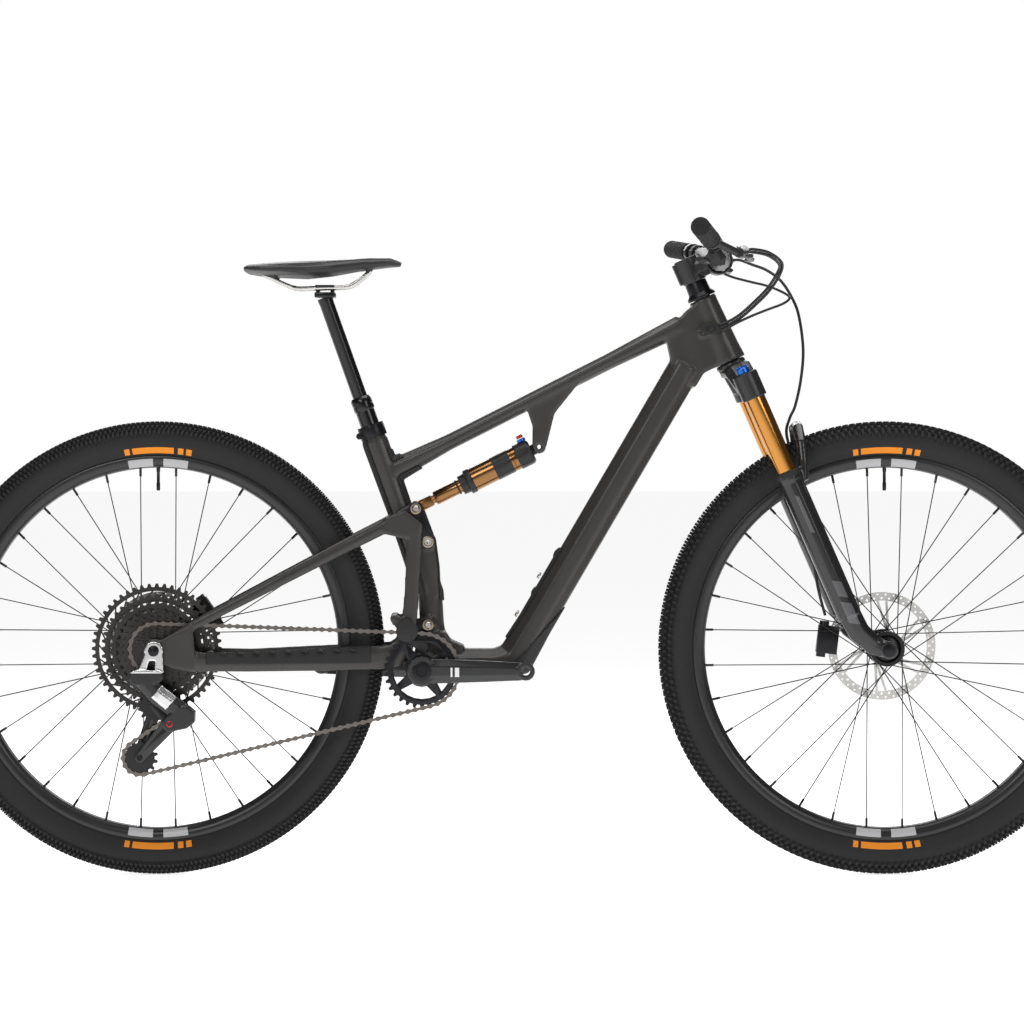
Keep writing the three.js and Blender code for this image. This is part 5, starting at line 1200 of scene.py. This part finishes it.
front_path = [ahead_of(runs[3][0], runs[3][2], 0.003), *chain_wrap(0),
              ahead_of(runs[0][1], runs[0][2], -0.044)]
rear_path = [ahead_of(runs[0][1], runs[0][2], -0.037), *chain_wrap(1),
             ahead_of(runs[1][1], runs[1][2], -0.006)]
cage_path = [*chain_wrap(2), *chain_wrap(3)]
for name, path, body, node in (("chain_ring_stretch", front_path, "chain_run", "chain_front"),
                               ("chain_cog_stretch", rear_path, "swingarm", "chain_rear"),
                               ("chain_pulley_stretch", cage_path, "cage", "chain_cage")):
    stretch = chain_stretch(name, path)
    fit(stretch, chain_steel, body, "steel", node)
for source in (outer_link, inner_link):
    bpy.data.objects.remove(source)

# ---------------------------------------------------------------- derailleur
# Forged black body on the axle with a bright hanger plate and outer link and a red ring at the knuckle, and
# a cage of two pressed plates that holds two toothed pulleys.
bright = finish("bright alloy", (0.62, 0.62, 0.62), 0.25, metal=1.0, worn=(0.45, 0.45, 0.45), grain=1400,
                relief=0.05)
changer = moulded("derailleur_body", "changer_body", 0.0012, passes=4)
changer_black = finish("derailleur black", (0.012, 0.012, 0.012), 0.34, metal=0.4, coat=0.3, grain=1500,
                       relief=0.1)
fit(changer, changer_black, "swingarm", "black_alloy", "derailleur_body")
link_start = Vector((rear_axle.x - 0.020, rear_axle.z - 0.044))
link_end = Vector((rear_axle.x + 0.040, rear_axle.z - 0.096))


def beside(centre, start, end, half, low, high):
    """True for a place within `half` of the line from start to end, and between two shares of it."""
    way = end - start
    rel = Vector((centre.x, centre.z)) - start
    share = rel.dot(way) / way.length_squared
    off = abs(rel.x * way.y - rel.y * way.x) / way.length
    return off < half and low < share < high


def on_hanger(centre, normal):
    return normal.y < -0.5 and centre.y < -0.0905 and centre.z > rear_axle.z - 0.036


def on_link(centre, normal):
    return (normal.y < -0.3 and centre.y < -0.082
            and beside(centre, link_start, link_end, 0.0125, 0.42, 0.80))


fit(skin_of(changer, "changer_hanger", on_hanger, 0.0003, 0.0010), bright, "swingarm", "steel")
fit(skin_of(changer, "changer_link", on_link, 0.0004, 0.0012), bright, "swingarm", "steel")
cage_pivot = Vector(joint["cage_turn"]["pos_m"])
for name, paint, radius, lift in (("pivot_ring", red, 0.0052, 0.0009),
                                  ("pivot_cap", changer_black, 0.0036, 0.0014)):
    ring = turned(name,
                  [(0, -0.001), (radius, -0.001), (radius, lift * 0.6), (radius * 0.9, lift), (0, lift)],
                  (cage_pivot.x, -0.0920, cage_pivot.z), (0, -1, 0), 36)
    fit(ring, paint, "swingarm", "black_alloy")
cage = machined("derailleur_cage", "cage_plates", 0.0005)
fit(cage, changer_black, "cage", "black_plastic", "derailleur_cage")
cage_rib = plate_bar("cage_rib", cage_pivot.lerp(tension_at, 0.22), cage_pivot.lerp(tension_at, 0.80),
                     0.009, 0.005, 0.0014, -0.0576)
modify(cage_rib, "BEVEL", width=0.0006, segments=2, limit_method="ANGLE")
smooth(cage_rib)
fit(cage_rib, changer_black, "cage", "black_plastic")
for node, place in (("guide_pulley", guide_at), ("tension_pulley", tension_at)):
    teeth = toothed(f"{node}_teeth", PULLEY_TEETH, pulley_pitch - 0.0040, pulley_pitch + 0.0016, 0.0150,
                    0.0020, (place.x, -CHAINLINE, place.z))
    centre = turned(f"{node}_centre", [
        (0.0045, -0.0011), (0.0155, -0.0008), (0.0155, 0.0008), (0.0045, 0.0011)],
        (place.x, -CHAINLINE, place.z), (0, 1, 0), 40)
    fit(joined(f"{node}_wheel", teeth, centre), plastic, node, "black_plastic", node)
    cap = bolt(f"{node}_bolt", (place.x, -0.0570, place.z), (0, -1, 0), 0.0048, 0.0016)
    fit(cap, anodised, "cage", "black_plastic")

# ---------------------------------------------------------------- stem, bar and grips
# A short forged stem clamps a swept-back carbon bar with a low rise, and ribbed rubber grips with a plain
# collar at the inner end slide on its ends.
fit(moulded("stem", "stem_body", 0.0012, passes=4), satin_black, "fork_upper", "black_alloy", "stem")
bar_black = finish("bar black", (0.012, 0.012, 0.0125), 0.38, coat=0.2, grain=1500, relief=0.1)
fit(moulded("handlebar", "bar", 0.0014, passes=5), bar_black, "fork_upper", "satin_carbon", "handlebar")
CLAMP = from_crown(0.0484, 0, 0.148 + 0.0164)


def bar_point(side, out, forward=0.0, up=0.0):
    """A point by its distance out along the bar's swept-back half, moved forward and up."""
    past = out - 0.138
    return Vector((CLAMP.x - 0.011 - past * 0.174 + forward, side * out,
                   CLAMP.z + 0.0165 + past * 0.084 + up))


grip_rubber = finish("grip rubber", (0.012, 0.012, 0.012), 0.75, grain=1800, mottle=0.5, relief=0.5)
for name, side in SIDES:
    start, end = bar_point(side, 0.2545), bar_point(side, 0.3868)
    way = (end - start).normalized()
    length = (end - start).length
    profile = [(0.0112, 0.0), (0.0150, 0.0), (0.0154, 0.0008), (0.0154, 0.0085), (0.0144, 0.0092),
               (0.0144, 0.0100)]
    rib = 0.0112
    while rib < length - 0.010:
        profile += [(0.0152, rib), (0.0152, rib + 0.0026), (0.0143, rib + 0.0030), (0.0143, rib + 0.0042)]
        rib += 0.0046
    profile += [(0.0153, length - 0.007), (0.0153, length - 0.002), (0.0140, length), (0.0060, length),
                (0.0052, length - 0.0008), (0, length - 0.0008), (0, length - 0.003),
                (0.0112, length - 0.003)]
    fit(turned(f"grip_sleeve_{name}", profile, start, way, 44, 35), grip_rubber, "fork_upper", "grip_rubber",
        f"grip_{name}")

# ---------------------------------------------------------------- brake levers and remotes
# Cast black brake bodies along the bar with short blades on titanium pins, the shift pod under the right of
# the bar and the seatpost remote under the left, each with a plastic paddle.
for name, side in SIDES:
    casting = moulded(f"brake_body_{name}", f"brake_casting_{name}", 0.0010, passes=3)
    fit(casting, satin_black, "fork_upper", "black_alloy", f"brake_body_{name}")
    blade = moulded(f"brake_blade_{name}", f"blade_{name}", 0.0007, passes=4)
    fit(blade, satin_black, f"lever_{name}", "black_alloy", f"brake_blade_{name}")
    cap = bolt(f"lever_pin_{name}", bar_point(side, 0.208, 0.042, -0.0085), (0, 0, 1), 0.0036, 0.0014)
    fit(cap, titanium, "fork_upper", "black_alloy")
for node, body, slot in (("dropper_remote", "fork_upper", "black_alloy"),
                         ("shift_pod", "fork_upper", "black_plastic"),
                         ("dropper_paddle", "seat_lever", "black_plastic"),
                         ("shift_paddle", "shift_lever", "black_plastic")):
    fit(moulded(node, f"{node}_casting", 0.0008, passes=3), plastic, body, slot, node)

# ---------------------------------------------------------------- hoses and housing
# Black nylon brake hose and cable housing: a pair clipped together from the right of the bar, and the
# seatpost's housing, both into the head tube port, and the front brake hose down the inner side of the left
# leg.
hose_black = finish("hose black", (0.012, 0.012, 0.012), 0.4, grain=2400, relief=0.12)
pair = [(359.6, -156, 1023), (374, -146, 1024.5), (400, -122, 1020), (421, -92, 1006), (419, -68, 989),
        (404, -54, 965), (385, -45, 945), (362, -38, 924), (342, -33, 911.5), (326.5, -30, 906.2)]
dropper = [(346, 174, 1001), (362, 150, 993), (388, 112, 984), (415, 70, 975), (438, 28, 962), (444, 2, 953),
           (431, -18, 943), (402, -32, 932), (375, -40, 921), (350, -41, 909), (332, -38.5, 898)]
front = [(358.5, 156, 1021.5), (372, 142, 1022), (392, 118, 1013), (414, 96, 1003), (436, 80, 985),
         (453, 70, 958), (465, 64, 926), (472, 60, 870), (468, 56, 820), (458, 52, 775)]


def in_metres(points):
    """Points given in millimetres, as vectors."""
    return [Vector(point) / 1000 for point in points]


AXLE_ALONG = -0.5314
front_line = in_metres(front) + [from_crown(ahead, side, along) for ahead, side, along in (
    (0.057, 0.047, LEG_TOP + 0.074), (0.041, 0.043, LEG_TOP + 0.050), (0.033, 0.0405, LEG_TOP - 0.012),
    (0.022, 0.0385, LEG_TOP - 0.060), (0.006, 0.0385, LEG_TOP - 0.130), (-0.012, 0.0385, LEG_TOP - 0.200),
    (-0.020, 0.039, AXLE_ALONG + 0.084))]
pair_line, dropper_line = in_metres(pair), in_metres(dropper)


def held(hose, node):
    """Finishes a hose that stretches between two bodies, in place of its CAD node."""
    hose.data.materials.clear()
    hose.data.materials.append(hose_black)
    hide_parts(node)


twins = []
for shift in (-0.0025, 0.0025):
    line = []
    for number, place in enumerate(pair_line):
        way = pair_line[min(number + 1, len(pair_line) - 1)] - pair_line[max(number - 1, 0)]
        line.append(place + way.cross(Vector((0, 1, 0))).normalized() * shift)
    twins.append(tube("hose", line, 0.00245, 16, 10))
hose_pair = joined("rear_hoses", *twins)
held(hose_pair, "rear_hose_pair")
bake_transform(hose_pair)
housing = tube("seat_housing", dropper_line, 0.0022, 16, 10)
held(housing, "dropper_housing")
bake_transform(housing)
front_hose = tube("front_hose", front_line, 0.0025, 16, 10)
held(front_hose, "front_brake_hose")
tuple(front_line[7])
tuple(front_line[11])
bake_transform(front_hose)
